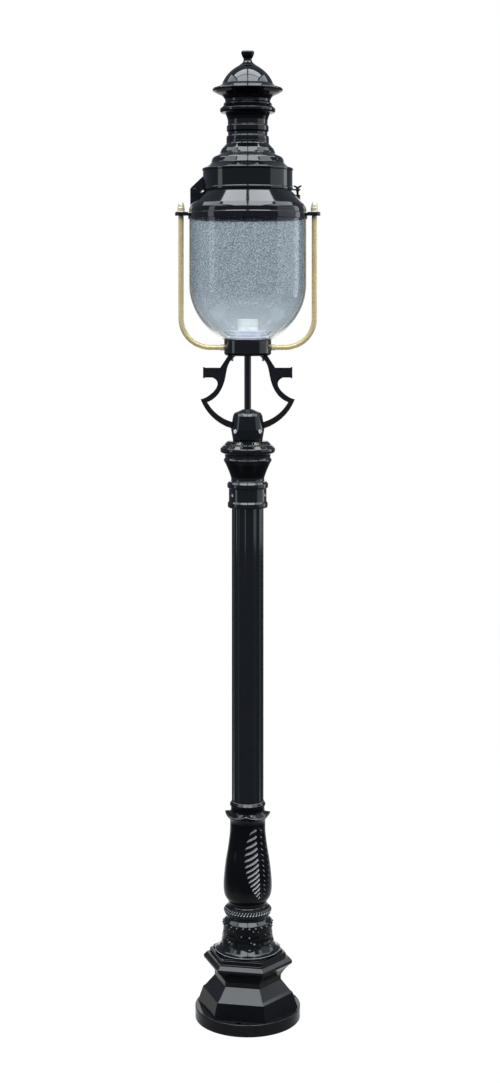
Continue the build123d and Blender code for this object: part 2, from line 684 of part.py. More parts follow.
def baluster():
    """Swelling casting over the column's foot, with a flared leaf collar at its top."""
    foot = COLUMN_RADIUS + BALUSTER_FOOT_WALL
    neck = COLUMN_RADIUS + BALUSTER_NECK_WALL
    swell = COLUMN_RADIUS + BALUSTER_SWELL_WALL
    waist = COLUMN_RADIUS + BALUSTER_WAIST_WALL
    lip = COLUMN_RADIUS + BALUSTER_LIP_WALL
    z_neck = Z_BALUSTER + NECK_SHARE * BALUSTER_HEIGHT
    z_swell = Z_BALUSTER + SWELL_SHARE * BALUSTER_HEIGHT
    z_waist = Z_BALUSTER + WAIST_SHARE * BALUSTER_HEIGHT
    fall = (waist + FALL_SHARE * (swell - waist), (z_swell + z_waist) / 2)
    side = Spline((neck, z_neck), (swell, z_swell), fall, (waist, z_waist))
    rest = Polyline(
        (waist, z_waist),
        (lip, Z_BALUSTER_TOP - LEAF_TOP_DROP),
        (lip, Z_BALUSTER_TOP),
        (POST_SOCKET, Z_BALUSTER_TOP),
        (POST_SOCKET, Z_COLUMN),
        (POST_BORE, Z_COLUMN),
        (POST_BORE, Z_BALUSTER),
        (foot, Z_BALUSTER),
        (neck, z_neck),
    )
    hollow = rod(POST_SOCKET, Z_COLUMN, Z_BALUSTER_TOP)
    return turned(side, rest) + (leaf_flare() - hollow)


def column_tube():
    """Fluted tube that stands in the baluster and carries the capital."""
    flute_centre = COLUMN_RADIUS - FLUTE_DEPTH + FLUTE_RADIUS
    flute = Pos(flute_centre, 0) * Circle(FLUTE_RADIUS)
    section = Circle(COLUMN_RADIUS) - Circle(COLUMN_RADIUS - COLUMN_WALL)
    for k in range(FLUTE_COUNT):
        section -= Rot(0, 0, FLUTE_TURN + (k + 0.5) * 360 / FLUTE_COUNT) * flute
    return Pos(0, 0, Z_COLUMN) * extrude(section, Z_COLUMN_TOP - Z_COLUMN)


def tie_rod():
    """Threaded rod that draws the post's castings together."""
    low = Z_WEB - TIE_WASHER_HEIGHT - TIE_NUT_HEIGHT - TIE_OVERRUN
    high = Z_DOME + TIE_WASHER_HEIGHT + TIE_NUT_HEIGHT + TIE_OVERRUN
    return rod(TIE_RADIUS, low, high)


def tie_washers():
    """Plain washers under the tie rod's two nuts."""
    bore = TIE_RADIUS + SCREW_PLAY
    lower = tube(TIE_WASHER_RADIUS, bore, Z_WEB - TIE_WASHER_HEIGHT, Z_WEB)
    upper = tube(TIE_WASHER_RADIUS, bore, Z_DOME, Z_DOME + TIE_WASHER_HEIGHT)
    return Part() + [lower, upper]


def tie_nuts():
    """Nuts at both ends of the tie rod."""
    bore = TIE_RADIUS + SCREW_PLAY
    lower_top = Z_WEB - TIE_WASHER_HEIGHT
    upper_foot = Z_DOME + TIE_WASHER_HEIGHT
    lower = hex_nut(TIE_NUT_FLATS, bore, lower_top - TIE_NUT_HEIGHT, lower_top)
    upper = hex_nut(TIE_NUT_FLATS, bore, upper_foot, upper_foot + TIE_NUT_HEIGHT)
    return Part() + [lower, upper]


def capital():
    """Turned casting on the column's top: ring, collar, band, vase and torus, and the dome's spigot."""
    ring, collar, band, waist, vase, torus, cap = (
        COLUMN_RADIUS + wall
        for wall in (
            CAPITAL_RING_WALL,
            CAPITAL_COLLAR_WALL,
            CAPITAL_BAND_WALL,
            CAPITAL_WAIST_WALL,
            CAPITAL_VASE_WALL,
            CAPITAL_TORUS_WALL,
            CAPITAL_CAP_WALL,
        )
    )
    torus_foot = vase - CAPITAL_NECK_TAPER
    ring_nose = ThreePointArc((collar, Z_CAPITAL), (ring, (Z_CAPITAL + Z_COLLAR) / 2), (collar, Z_COLLAR))
    collar_side = Line((collar, Z_COLLAR), (collar, Z_CAP_BAND))
    band_nose = ThreePointArc((collar, Z_CAP_BAND), (band, (Z_CAP_BAND + Z_WAIST) / 2), (collar, Z_WAIST))
    waist_cut = Polyline((collar, Z_WAIST), (waist, Z_WAIST), (waist, Z_VASE))
    vase_belly = (waist + VASE_BELLY_OUT * (vase - waist), Z_VASE + VASE_BELLY_UP * CAPITAL_VASE_HEIGHT)
    vase_side = Spline((waist, Z_VASE), vase_belly, (vase, Z_CAP_NECK))
    vase_neck = Line((vase, Z_CAP_NECK), (torus_foot, Z_TORUS))
    torus_nose = ThreePointArc((torus_foot, Z_TORUS), (torus, (Z_TORUS + Z_CAP) / 2), (torus_foot, Z_CAP))
    inside = Polyline(
        (torus_foot, Z_CAP),
        (cap, (Z_CAP + Z_DOME) / 2),
        (cap, Z_DOME),
        (SPIGOT_RADIUS, Z_DOME),
        (SPIGOT_RADIUS, Z_DOME + SPIGOT_HEIGHT),
        (SPIGOT_RADIUS - SPIGOT_WALL, Z_DOME + SPIGOT_HEIGHT),
        (SPIGOT_RADIUS - SPIGOT_WALL, Z_DOME),
        (TIE_RADIUS + SCREW_PLAY, Z_DOME),
        (TIE_RADIUS + SCREW_PLAY, Z_DOME - CAPITAL_WEB),
        (POST_BORE, Z_DOME - CAPITAL_WEB),
        (POST_BORE, Z_COLUMN_TOP),
        (POST_SOCKET, Z_COLUMN_TOP),
        (POST_SOCKET, Z_CAPITAL),
        (collar, Z_CAPITAL),
    )
    casting = turned(ring_nose, collar_side, band_nose, waist_cut, vase_side, vase_neck, torus_nose, inside)
    casting -= Pos(CAPITAL_CABLE_OFFSET, 0, 0) * rod(CAPITAL_CABLE_HOLE, Z_DOME - CAPITAL_WEB, Z_DOME)
    grub_hole = side_rod(GRUB_RADIUS + SCREW_PLAY, Z_GRUB, COLUMN_RADIUS, collar + PAST)
    spigot_bore = SPIGOT_RADIUS - SPIGOT_WALL
    screw = DOME_SCREW_RADIUS + SCREW_PLAY
    screw_hole = side_rod(screw, Z_DOME_SCREW, spigot_bore - PAST, SPIGOT_RADIUS + PAST)
    casting -= around(GRUB_COUNT, GRUB_TURN, grub_hole)
    return casting - around(DOME_SCREW_COUNT, DOME_SCREW_TURN, screw_hole)


def capital_grub_screws():
    """Socket grub screws that lock the capital on the column."""
    end = COLUMN_RADIUS + CAPITAL_COLLAR_WALL - GRUB_INSET
    screw = side_rod(GRUB_RADIUS, Z_GRUB, COLUMN_RADIUS + SCREW_PLAY, end)
    socket = extrude(RegularPolygon(GRUB_SOCKET, 6), GRUB_SOCKET_DEPTH)
    screw -= Pos(end, 0, Z_GRUB) * Rot(0, -90, 0) * socket
    return around(GRUB_COUNT, GRUB_TURN, screw)


def dome_outside():
    """Solid outer form of the post top: splayed foot, belt and rounded crown."""
    belt = (DOME_BELT_RADIUS, Z_DOME + DOME_BELT_HEIGHT)
    shoulder = (DOME_SHOULDER_RADIUS, Z_DOME + DOME_SHOULDER_HEIGHT)
    crown = (DOME_CROWN_RADIUS, Z_DOME_TOP)
    foot = Polyline((0, Z_DOME), (DOME_FOOT_RADIUS, Z_DOME), belt, shoulder)
    crown_span = DOME_SHOULDER_RADIUS - DOME_CROWN_RADIUS
    top = oval((DOME_CROWN_RADIUS, shoulder[1]), crown_span, DOME_HEIGHT - DOME_SHOULDER_HEIGHT, 0, 90)
    return turned(foot, top, Polyline(crown, (0, Z_DOME_TOP), (0, Z_DOME)))


def post_top_dome():
    """Hollow dome over the capital's spigot, bored for the stem, its screws and the brackets' screws."""
    bore = SPIGOT_RADIUS + SLIP
    cavity = turned_corners(
        (0, Z_DOME),
        (bore, Z_DOME),
        (bore, Z_DOME_CEILING - DOME_CAVITY_CONE),
        (bore - DOME_CAVITY_DRAW, Z_DOME_CEILING),
        (0, Z_DOME_CEILING),
    )
    hole_in = bore - PAST
    hole_out = DOME_BELT_RADIUS + PAST
    screw_hole = side_rod(DOME_SCREW_RADIUS + SCREW_PLAY, Z_DOME_SCREW, hole_in, hole_out)
    bracket_hole = side_rod(BRACKET_SCREW_RADIUS + SCREW_PLAY, Z_BRACKET_FOOT, hole_in, hole_out)
    dome = dome_outside() - cavity - rod(STEM_RADIUS + SCREW_PLAY, Z_DOME_CEILING, Z_DOME_TOP)
    return dome - around(DOME_SCREW_COUNT, DOME_SCREW_TURN, screw_hole) - both_sides(bracket_hole)


def dome_screws():
    """Slotted screws that hold the dome on the spigot."""
    seat = DOME_BELT_RADIUS
    head = side_rod(DOME_SCREW_HEAD, Z_DOME_SCREW, seat, seat + DOME_SCREW_HEAD_HEIGHT)
    shank = side_rod(DOME_SCREW_RADIUS, Z_DOME_SCREW, SPIGOT_RADIUS - SPIGOT_WALL, seat)
    slot_x = seat + DOME_SCREW_HEAD_HEIGHT - SLOT_DEPTH / 2
    slot = Box(SLOT_DEPTH, SLOT_WIDTH, 2 * (DOME_SCREW_HEAD + PAST))
    screw = head + shank - Pos(slot_x, 0, Z_DOME_SCREW) * Rot(SLOT_TURN, 0, 0) * slot
    return around(DOME_SCREW_COUNT, DOME_SCREW_TURN, screw)


def stem_tube():
    """Hollow stem between the dome and the gallery, which also takes the cable up."""
    low = Z_DOME_CEILING - STEM_NUT_HEIGHT - STEM_OVERRUN
    high = Z_GALLERY_FLOOR + STEM_NUT_HEIGHT + STEM_OVERRUN
    return tube(STEM_RADIUS, STEM_BORE, low, high)


def stem_nuts():
    """Back nuts on the stem, under the dome's crown and on the gallery's floor."""
    bore = STEM_RADIUS + SCREW_PLAY
    lower = hex_nut(STEM_NUT_FLATS, bore, Z_DOME_CEILING - STEM_NUT_HEIGHT, Z_DOME_CEILING)
    upper = hex_nut(STEM_NUT_FLATS, bore, Z_GALLERY_FLOOR, Z_GALLERY_FLOOR + STEM_NUT_HEIGHT)
    return Part() + [lower, upper]


def right_frog_bracket():
    """Scroll bracket with a ladder rest, from the dome's side up to the gallery's underside."""
    rest_top = Z_GALLERY - REST_DROP
    rest_low = rest_top - REST_HEIGHT
    tip = (TIP_REACH, Z_GALLERY - TIP_DROP)
    inner_corner = (TIP_REACH - BRACKET_WIDTH, tip[1] - TIP_SLANT)
    foot_low = Z_BRACKET_FOOT - BRACKET_WIDTH / 2
    foot_high = Z_BRACKET_FOOT + BRACKET_WIDTH / 2
    foot_in = DOME_BELT_RADIUS - BRACKET_BURY
    flange_in = REST_REACH - REST_FLANGE_THICKNESS
    straight = Polyline(
        (BRACKET_ROOT_IN, Z_GALLERY),
        (BRACKET_ROOT_OUT, Z_GALLERY),
        (REST_ROOT, rest_top),
        (flange_in, rest_top),
        (flange_in, rest_top + REST_FLANGE),
        (REST_REACH, rest_top + REST_FLANGE),
        (REST_REACH, rest_low - REST_FLANGE),
        (flange_in, rest_low - REST_FLANGE),
        (flange_in, rest_low),
        (HOOK_START, rest_low),
    )
    hook = Spline(
        (HOOK_START, rest_low),
        (HOOK_DEEPEST, rest_low - HOOK_DEEPEST_DROP),
        (HOOK_LOW, rest_low - HOOK_LOW_DROP),
        tip,
    )
    outer_foot = (foot_in, foot_low)
    inner_foot = (foot_in, foot_high)
    outer = ThreePointArc(tip, between(outer_foot, tip, SWEEP_OUTER), outer_foot)
    end = Line(outer_foot, inner_foot)
    inner = ThreePointArc(inner_foot, between(inner_foot, inner_corner, SWEEP_INNER), inner_corner)
    throat = HOOK_DEEPEST - BRACKET_WIDTH - SWAN_THROAT_EXTRA
    swan = Spline(
        inner_corner,
        (HOOK_DEEPEST - SWAN_LOW_INSET, tip[1] + SWAN_LOW_RISE),
        (throat, rest_low - SWAN_THROAT_DROP),
        (throat - SWAN_TOP_INSET, rest_top + SWAN_TOP_RISE),
        (BRACKET_ROOT_IN, Z_GALLERY),
    )
    arm = plate(BRACKET_THICKNESS, straight, hook, outer, end, inner, swan) - dome_outside()
    hole = BRACKET_SCREW_RADIUS + SCREW_PLAY
    foot_hole = side_rod(hole, Z_BRACKET_FOOT, foot_in, DOME_BELT_RADIUS + BRACKET_SCREW_GRIP)
    root_hole = Pos(BRACKET_SCREW_REACH, 0, 0) * rod(hole, Z_GALLERY - BRACKET_SCREW_GRIP, Z_GALLERY)
    return arm - foot_hole - root_hole


def left_frog_bracket():
    """Scroll bracket on the hinge side."""
    return mirror(right_frog_bracket(), Plane.YZ)


def bracket_screws():
    """Screws from inside the dome and the gallery into both brackets."""
    dome_bore = SPIGOT_RADIUS + SLIP
    seat = sqrt(dome_bore**2 - BRACKET_SCREW_HEAD**2) - SCREW_PLAY
    grip = BRACKET_SCREW_GRIP - THREAD_ROOM
    foot = side_rod(BRACKET_SCREW_RADIUS, Z_BRACKET_FOOT, seat, DOME_BELT_RADIUS + grip)
    foot += side_rod(BRACKET_SCREW_HEAD, Z_BRACKET_FOOT, seat - BRACKET_SCREW_HEAD_HEIGHT, seat)
    root = rod(BRACKET_SCREW_RADIUS, Z_GALLERY - grip, Z_GALLERY_FLOOR)
    root += rod(BRACKET_SCREW_HEAD, Z_GALLERY_FLOOR, Z_GALLERY_FLOOR + BRACKET_SCREW_HEAD_HEIGHT)
    return both_sides(foot) + both_sides(Pos(BRACKET_SCREW_REACH, 0, 0) * root)


def gallery_cup():
    """Cup under the glass: floor for the stem, wall for the arms and a ledge for the lamp plate."""
    round_foot = GALLERY_RADIUS - GALLERY_ROUNDING
    turn = GALLERY_ROUNDING * (1 - sqrt(0.5))
    side_foot = (GALLERY_RADIUS, Z_GALLERY + GALLERY_ROUNDING)
    rounding = ThreePointArc((round_foot, Z_GALLERY), (GALLERY_RADIUS - turn, Z_GALLERY + turn), side_foot)
    rest = Polyline(
        side_foot,
        (GALLERY_RADIUS, Z_GALLERY_TOP),
        (GALLERY_RIM_BORE, Z_GALLERY_TOP),
        (GALLERY_RIM_BORE, Z_LAMP_PLATE),
        (GALLERY_BORE, Z_LAMP_PLATE),
        (GALLERY_BORE, Z_GALLERY_FLOOR),
        (STEM_RADIUS + SCREW_PLAY, Z_GALLERY_FLOOR),
        (STEM_RADIUS + SCREW_PLAY, Z_GALLERY),
        (round_foot, Z_GALLERY),
    )
    arm_hole = side_rod(ARM_RADIUS + SCREW_PLAY, Z_ARM, ARM_INNER_END, GALLERY_RADIUS + PAST)
    root_hole = rod(BRACKET_SCREW_RADIUS + SCREW_PLAY, Z_GALLERY, Z_GALLERY_FLOOR)
    plate_low = Z_HOLDER - PLATE_SCREW_LENGTH - THREAD_ROOM
    plate_hole = rod(PLATE_SCREW_RADIUS + SCREW_PLAY, plate_low, Z_HOLDER)
    cup = turned(rounding, rest) - both_sides(arm_hole) - at_plate_screws(plate_hole)
    return cup - both_sides(Pos(BRACKET_SCREW_REACH, 0, 0) * root_hole)


def at_plate_screws(shape):
    """Copies of a shape from the axis at the lamp plate's screws, over the gallery's ledge."""
    ledge_middle = (GALLERY_BORE + GALLERY_RIM_BORE) / 2
    return around(PLATE_SCREW_COUNT, PLATE_SCREW_TURN, Pos(ledge_middle, 0, 0) * shape)


def right_arm():
    """Brass rod: out of the gallery, round a bend and up to a threaded stud in the canopy's ear."""
    bend_start = ARM_REACH - ARM_BEND
    bend_end = (ARM_REACH, Z_ARM + ARM_BEND)
    turn = ARM_BEND * sqrt(0.5)
    run = Line((ARM_INNER_END, Z_ARM), (bend_start, Z_ARM))
    bend = ThreePointArc((bend_start, Z_ARM), (bend_start + turn, Z_ARM + ARM_BEND - turn), bend_end)
    rise = Line(bend_end, (ARM_REACH, Z_EAR))
    path = Plane.XZ * (Curve() + [run, bend, rise])
    section = Plane(origin=(ARM_INNER_END, 0, Z_ARM), z_dir=(1, 0, 0)) * Circle(ARM_RADIUS)
    stud_top = Z_EAR_TOP + ARM_WASHER_HEIGHT + ACORN_THREAD - THREAD_ROOM
    return sweep(section, path) + Pos(ARM_REACH, 0, 0) * rod(ARM_STUD_RADIUS, Z_EAR, stud_top)


def left_arm():
    """Brass arm on the hinge side."""
    return mirror(right_arm(), Plane.YZ)


def arm_collars():
    """Brass lock collars on the arms, against the gallery's wall."""
    bore = ARM_RADIUS + SCREW_PLAY
    seat = GALLERY_RADIUS
    collar = side_rod(ARM_COLLAR_RADIUS, Z_ARM, seat, seat + ARM_COLLAR_LENGTH)
    return both_sides(collar - side_rod(bore, Z_ARM, seat, seat + ARM_COLLAR_LENGTH))


def arm_nuts():
    """Nuts on the arms' inner ends, inside the gallery."""
    corner = ARM_NUT_FLATS / sqrt(3)
    seat = sqrt(GALLERY_BORE**2 - corner**2) - SLIP
    nut = hex_nut(ARM_NUT_FLATS, ARM_RADIUS + SCREW_PLAY, 0, ARM_NUT_LENGTH)
    return both_sides(Pos(seat - ARM_NUT_LENGTH, 0, Z_ARM) * Rot(0, 90, 0) * Rot(0, 0, 90) * nut)


def arm_washers():
    """Washers between the canopy's ears and the acorn nuts."""
    washer = tube(ARM_WASHER_RADIUS, ARM_STUD_RADIUS + SCREW_PLAY, Z_EAR_TOP, Z_EAR_TOP + ARM_WASHER_HEIGHT)
    return both_sides(Pos(ARM_REACH, 0, 0) * washer)


def acorn_nuts():
    """Brass acorn nuts: a hexagon base under a tall round crown."""
    low = Z_EAR_TOP + ARM_WASHER_HEIGHT
    crown_foot = low + ACORN_BASE
    crown = turned(
        oval((0, crown_foot), ACORN_RADIUS, ACORN_HEIGHT - ACORN_BASE, 0, 90),
        Polyline((0, low + ACORN_HEIGHT), (0, crown_foot), (ACORN_RADIUS, crown_foot)),
    )
    base = Pos(0, 0, low) * extrude(RegularPolygon(ACORN_FLATS / 2, 6, major_radius=False), ACORN_BASE)
    nut = base + crown - rod(ARM_STUD_RADIUS + SCREW_PLAY, low, low + ACORN_THREAD)
    return both_sides(Pos(ARM_REACH, 0, 0) * nut)


def lamp_plate():
    """Steel disc on the gallery's ledge that carries the lampholder."""
    disc = tube(SEAL_RADIUS, NIPPLE_RADIUS + SCREW_PLAY, Z_LAMP_PLATE, Z_HOLDER)
    return disc - at_plate_screws(plate_screw(SCREW_PLAY))


def plate_screw(play):
    """Countersunk screw of the lamp plate, swollen by its play."""
    shank = PLATE_SCREW_RADIUS + play
    z_sink = Z_HOLDER - PLATE_SCREW_HEAD + PLATE_SCREW_RADIUS
    head = turned_corners((0, Z_HOLDER), (PLATE_SCREW_HEAD + play, Z_HOLDER), (shank, z_sink), (0, z_sink))
    return rod(shank, Z_HOLDER - PLATE_SCREW_LENGTH, Z_HOLDER) + head


def plate_screws():
    """Countersunk screws of the lamp plate."""
    return at_plate_screws(plate_screw(0))


def holder_nipple():
    """Hollow threaded nipple that holds the lampholder on its plate and lets the wires up."""
    low = Z_LAMP_PLATE - NIPPLE_NUT_HEIGHT - NIPPLE_OVERRUN
    return tube(NIPPLE_RADIUS, NIPPLE_BORE, low, Z_HOLDER + NIPPLE_GRIP)


def nipple_nut():
    """Lock nut on the nipple, under the lamp plate."""
    low = Z_LAMP_PLATE - NIPPLE_NUT_HEIGHT
    return hex_nut(NIPPLE_NUT_FLATS, NIPPLE_RADIUS + SCREW_PLAY, low, Z_LAMP_PLATE)


def lampholder_body():
    """White lampholder base with a well for the screw shell."""
    well = SOCKET_RADIUS + SOCKET_WALL + SCREW_PLAY
    body = rod(HOLDER_RADIUS, Z_HOLDER, Z_HOLDER_RING) - rod(well, Z_SOCKET - CONTACT_HEIGHT, Z_HOLDER_RING)
    body -= rod(NIPPLE_RADIUS + SCREW_PLAY, Z_HOLDER, Z_HOLDER + NIPPLE_GRIP)
    return body - rod(NIPPLE_BORE, Z_HOLDER + NIPPLE_GRIP, Z_SOCKET - CONTACT_HEIGHT)


def lampholder_ring():
    """White screw-on skirt ring of the lampholder."""
    mouth = SOCKET_RADIUS + SOCKET_WALL + SCREW_PLAY
    return tube(HOLDER_RADIUS + HOLDER_RING_PROUD, mouth, Z_HOLDER_RING, Z_HOLDER_TOP)


def socket_shell():
    """Metal screw shell of the lampholder, on an inward flange at the bottom of the well."""
    outer = SOCKET_RADIUS + SOCKET_WALL
    foot_flange = tube(outer, SOCKET_RADIUS - SOCKET_FLANGE, Z_SOCKET - CONTACT_HEIGHT, Z_SOCKET)
    return tube(outer, SOCKET_RADIUS, Z_SOCKET, Z_SOCKET_TOP) + foot_flange


def centre_contact():
    """Centre contact at the bottom of the lampholder."""
    return tube(CONTACT_RADIUS + NIPPLE_BORE, NIPPLE_BORE, Z_SOCKET - CONTACT_HEIGHT, Z_SOCKET)


def seal_ring():
    """Stepped translucent ring round the lampholder, which centres the bowl on the gallery."""
    top = Z_HOLDER + SEAL_HEIGHT
    tier_rise = (top - Z_BOWL) / SEAL_TIERS
    ring = rod(SEAL_RADIUS, Z_HOLDER, Z_BOWL)
    for tier in range(SEAL_TIERS):
        foot = Z_BOWL + tier * tier_rise
        ring += rod(SEAL_RADIUS - tier * SEAL_TIER_STEP, foot, foot + tier_rise)
    return ring - rod(HOLDER_RADIUS + SLIP, Z_HOLDER, top)


def bowl_gasket():
    """Rubber ring between the gallery's rim and the glass."""
    return tube(GALLERY_RADIUS, BOWL_NECK, Z_GALLERY_TOP, Z_BOWL)


def glass_bowl():
    """Bell-jar bowl: straight wall, round lower end and a flat foot with a neck hole."""
    outer_turn = degrees(asin(BOWL_ROUND_KEPT / BOWL_ROUND_HEIGHT))
    inner_radius = BOWL_RADIUS - BOWL_WALL
    inner_round = BOWL_ROUND_HEIGHT - BOWL_WALL
    inner_turn = degrees(asin((BOWL_ROUND_KEPT - BOWL_FOOT_WALL) / inner_round))
    foot = BOWL_RADIUS * cos(radians(outer_turn))
    inner_foot = inner_radius * cos(radians(inner_turn))
    outside = oval((0, Z_BOWL_ROUND), BOWL_RADIUS, BOWL_ROUND_HEIGHT, -outer_turn, 0)
    inside = oval((0, Z_BOWL_ROUND), inner_radius, inner_round, -inner_turn, 0)
    wall = Polyline(
        (BOWL_RADIUS, Z_BOWL_ROUND),
        (BOWL_RADIUS, Z_BOWL_TOP),
        (inner_radius, Z_BOWL_TOP),
        (inner_radius, Z_BOWL_ROUND),
    )
    z_floor = Z_BOWL + BOWL_FOOT_WALL
    neck = Polyline((inner_foot, z_floor), (BOWL_NECK, z_floor), (BOWL_NECK, Z_BOWL), (foot, Z_BOWL))
    return turned(outside, wall, inside, neck)


def rim_gasket():
    """Rubber ring between the glass's top edge and the brim."""
    return tube(BOWL_RADIUS + BRIM_LIP_PLAY / 2, BOWL_RADIUS - BOWL_WALL, Z_BOWL_TOP, Z_BRIM_CEILING)


def skirt_radius(height):
    """Outer radius of the conical skirt at a height."""
    return SKIRT_FOOT_RADIUS + (SKIRT_TOP_RADIUS - SKIRT_FOOT_RADIUS) * (height - Z_SKIRT) / SKIRT_HEIGHT


def skirt_height(radius):
    """Height of the conical skirt's outside at a radius."""
    return Z_SKIRT + SKIRT_HEIGHT * (SKIRT_FOOT_RADIUS - radius) / (SKIRT_FOOT_RADIUS - SKIRT_TOP_RADIUS)


def hinge_eye(thickness):
    """Disc round the hinge pin, across the hinge."""
    return Pos(-HINGE_REACH, 0, Z_LID) * Rot(90, 0, 0) * Cylinder(HINGE_EYE_RADIUS, thickness)


def hinge_tongue():
    """Upright lug on the skirt that carries the hinge pin's middle."""
    outer = HINGE_REACH + HINGE_EYE_RADIUS
    inner = HINGE_REACH - HINGE_EYE_RADIUS
    outline = Polyline(
        (-outer, skirt_height(outer) - SKIRT_WALL / 2),
        (-outer, Z_LID),
        (-inner, Z_LID),
        (-inner, skirt_height(inner) - SKIRT_WALL / 2),
        close=True,
    )
    return plate(TONGUE_THICKNESS, outline) + hinge_eye(TONGUE_THICKNESS)


def hinge_hole(length):
    """Room for the hinge pin, across the hinge."""
    return Pos(-HINGE_REACH, 0, Z_LID) * Rot(90, 0, 0) * Cylinder(HINGE_PIN_RADIUS + PIN_PLAY, length)


def latch_boss():
    """Boss on the skirt that takes the thumb screw's tip."""
    outer = LATCH_RADIUS + LATCH_HOLE_PLAY + LATCH_BOSS_WALL
    low = skirt_height(LATCH_REACH) - SKIRT_WALL / 2
    return Pos(LATCH_REACH, 0, 0) * rod(outer, low, Z_LID - LATCH_BOSS_DROP)


def canopy():
    """Brim over the glass, conical skirt, ears for the arms, hinge lug and thumb-screw boss."""
    pocket = BOWL_RADIUS + BRIM_LIP_PLAY
    inner_top = skirt_radius(Z_SKIRT_TOP - SKIRT_WALL) - SKIRT_WALL
    shell = turned_corners(
        (pocket, Z_BRIM),
        (BRIM_RADIUS, Z_BRIM),
        (BRIM_RADIUS, Z_BRIM_TOP - BRIM_CHAMFER),
        (BRIM_RADIUS - BRIM_CHAMFER, Z_BRIM_TOP),
        (SKIRT_FOOT_RADIUS, Z_SKIRT),
        (SKIRT_TOP_RADIUS, Z_SKIRT_TOP),
        (SKIRT_OPENING, Z_SKIRT_TOP),
        (SKIRT_OPENING, Z_SKIRT_TOP - SKIRT_WALL),
        (inner_top, Z_SKIRT_TOP - SKIRT_WALL),
        (BRIM_BORE, Z_SKIRT),
        (BRIM_BORE, Z_BRIM_CEILING),
        (pocket, Z_BRIM_CEILING),
    )
    ear = Pos(ARM_REACH, 0, 0) * rod(EAR_RADIUS, Z_EAR, Z_EAR_TOP)
    bridge_length = ARM_REACH - pocket
    bridge = Box(bridge_length, 2 * EAR_RADIUS, EAR_THICKNESS, align=LOW)
    ear += Pos(ARM_REACH - bridge_length / 2, 0, Z_EAR) * bridge
    clear = rod(pocket, Z_BRIM, Z_BRIM_CEILING)
    stud_hole = Pos(ARM_REACH, 0, 0) * rod(ARM_STUD_RADIUS + SCREW_PLAY, Z_EAR, Z_EAR_TOP)
    boss_top = Z_LID - LATCH_BOSS_DROP
    tip_hole = rod(LATCH_RADIUS + LATCH_HOLE_PLAY, boss_top - LATCH_HOLE_DEPTH, boss_top)
    casting = shell + both_sides(ear - clear) + hinge_tongue() + latch_boss()
    casting -= Pos(LATCH_REACH, 0, 0) * tip_hole
    return casting - both_sides(stud_hole) - hinge_hole(2 * TONGUE_THICKNESS)


def lid_gasket():
    """Rubber ring between the skirt's top and the lid."""
    outer = SKIRT_TOP_RADIUS - LID_GASKET_INSET
    return tube(outer, outer - LID_GASKET_WIDTH, Z_SKIRT_TOP, Z_LID)


def hinge_cheeks():
    """Two lugs on the drum that straddle the hinge tongue."""
    root = -DRUM_RADIUS + DRUM_WALL / 2
    shoulder = HINGE_EYE_RADIUS * sqrt(0.5)
    outline = Polyline(
        (root, Z_LID + CHEEK_RISE),
        (-HINGE_REACH - shoulder, Z_LID + shoulder),
        (-HINGE_REACH, Z_LID),
        (-HINGE_REACH + shoulder, Z_LID + CHEEK_NOTCH),
        (root, Z_LID + CHEEK_NOTCH),
        close=True,
    )
    place = TONGUE_THICKNESS / 2 + SIDE_PLAY + CHEEK_THICKNESS / 2
    cheek = plate(CHEEK_THICKNESS, outline) + hinge_eye(CHEEK_THICKNESS)
    return Part() + [Pos(0, side * place, 0) * cheek for side in (-1, 1)]


def latch_tab():
    """Tab on the drum's foot that carries the thumb screw."""
    length = LATCH_REACH - DRUM_RADIUS + DRUM_WALL
    low = Z_LID + SIDE_PLAY
    bar = Pos(-length / 2, 0, low) * Box(length, 2 * LATCH_TAB_RADIUS, LATCH_TAB_THICKNESS, align=LOW)
    return Pos(LATCH_REACH, 0, 0) * (bar + rod(LATCH_TAB_RADIUS, low, low + LATCH_TAB_THICKNESS))


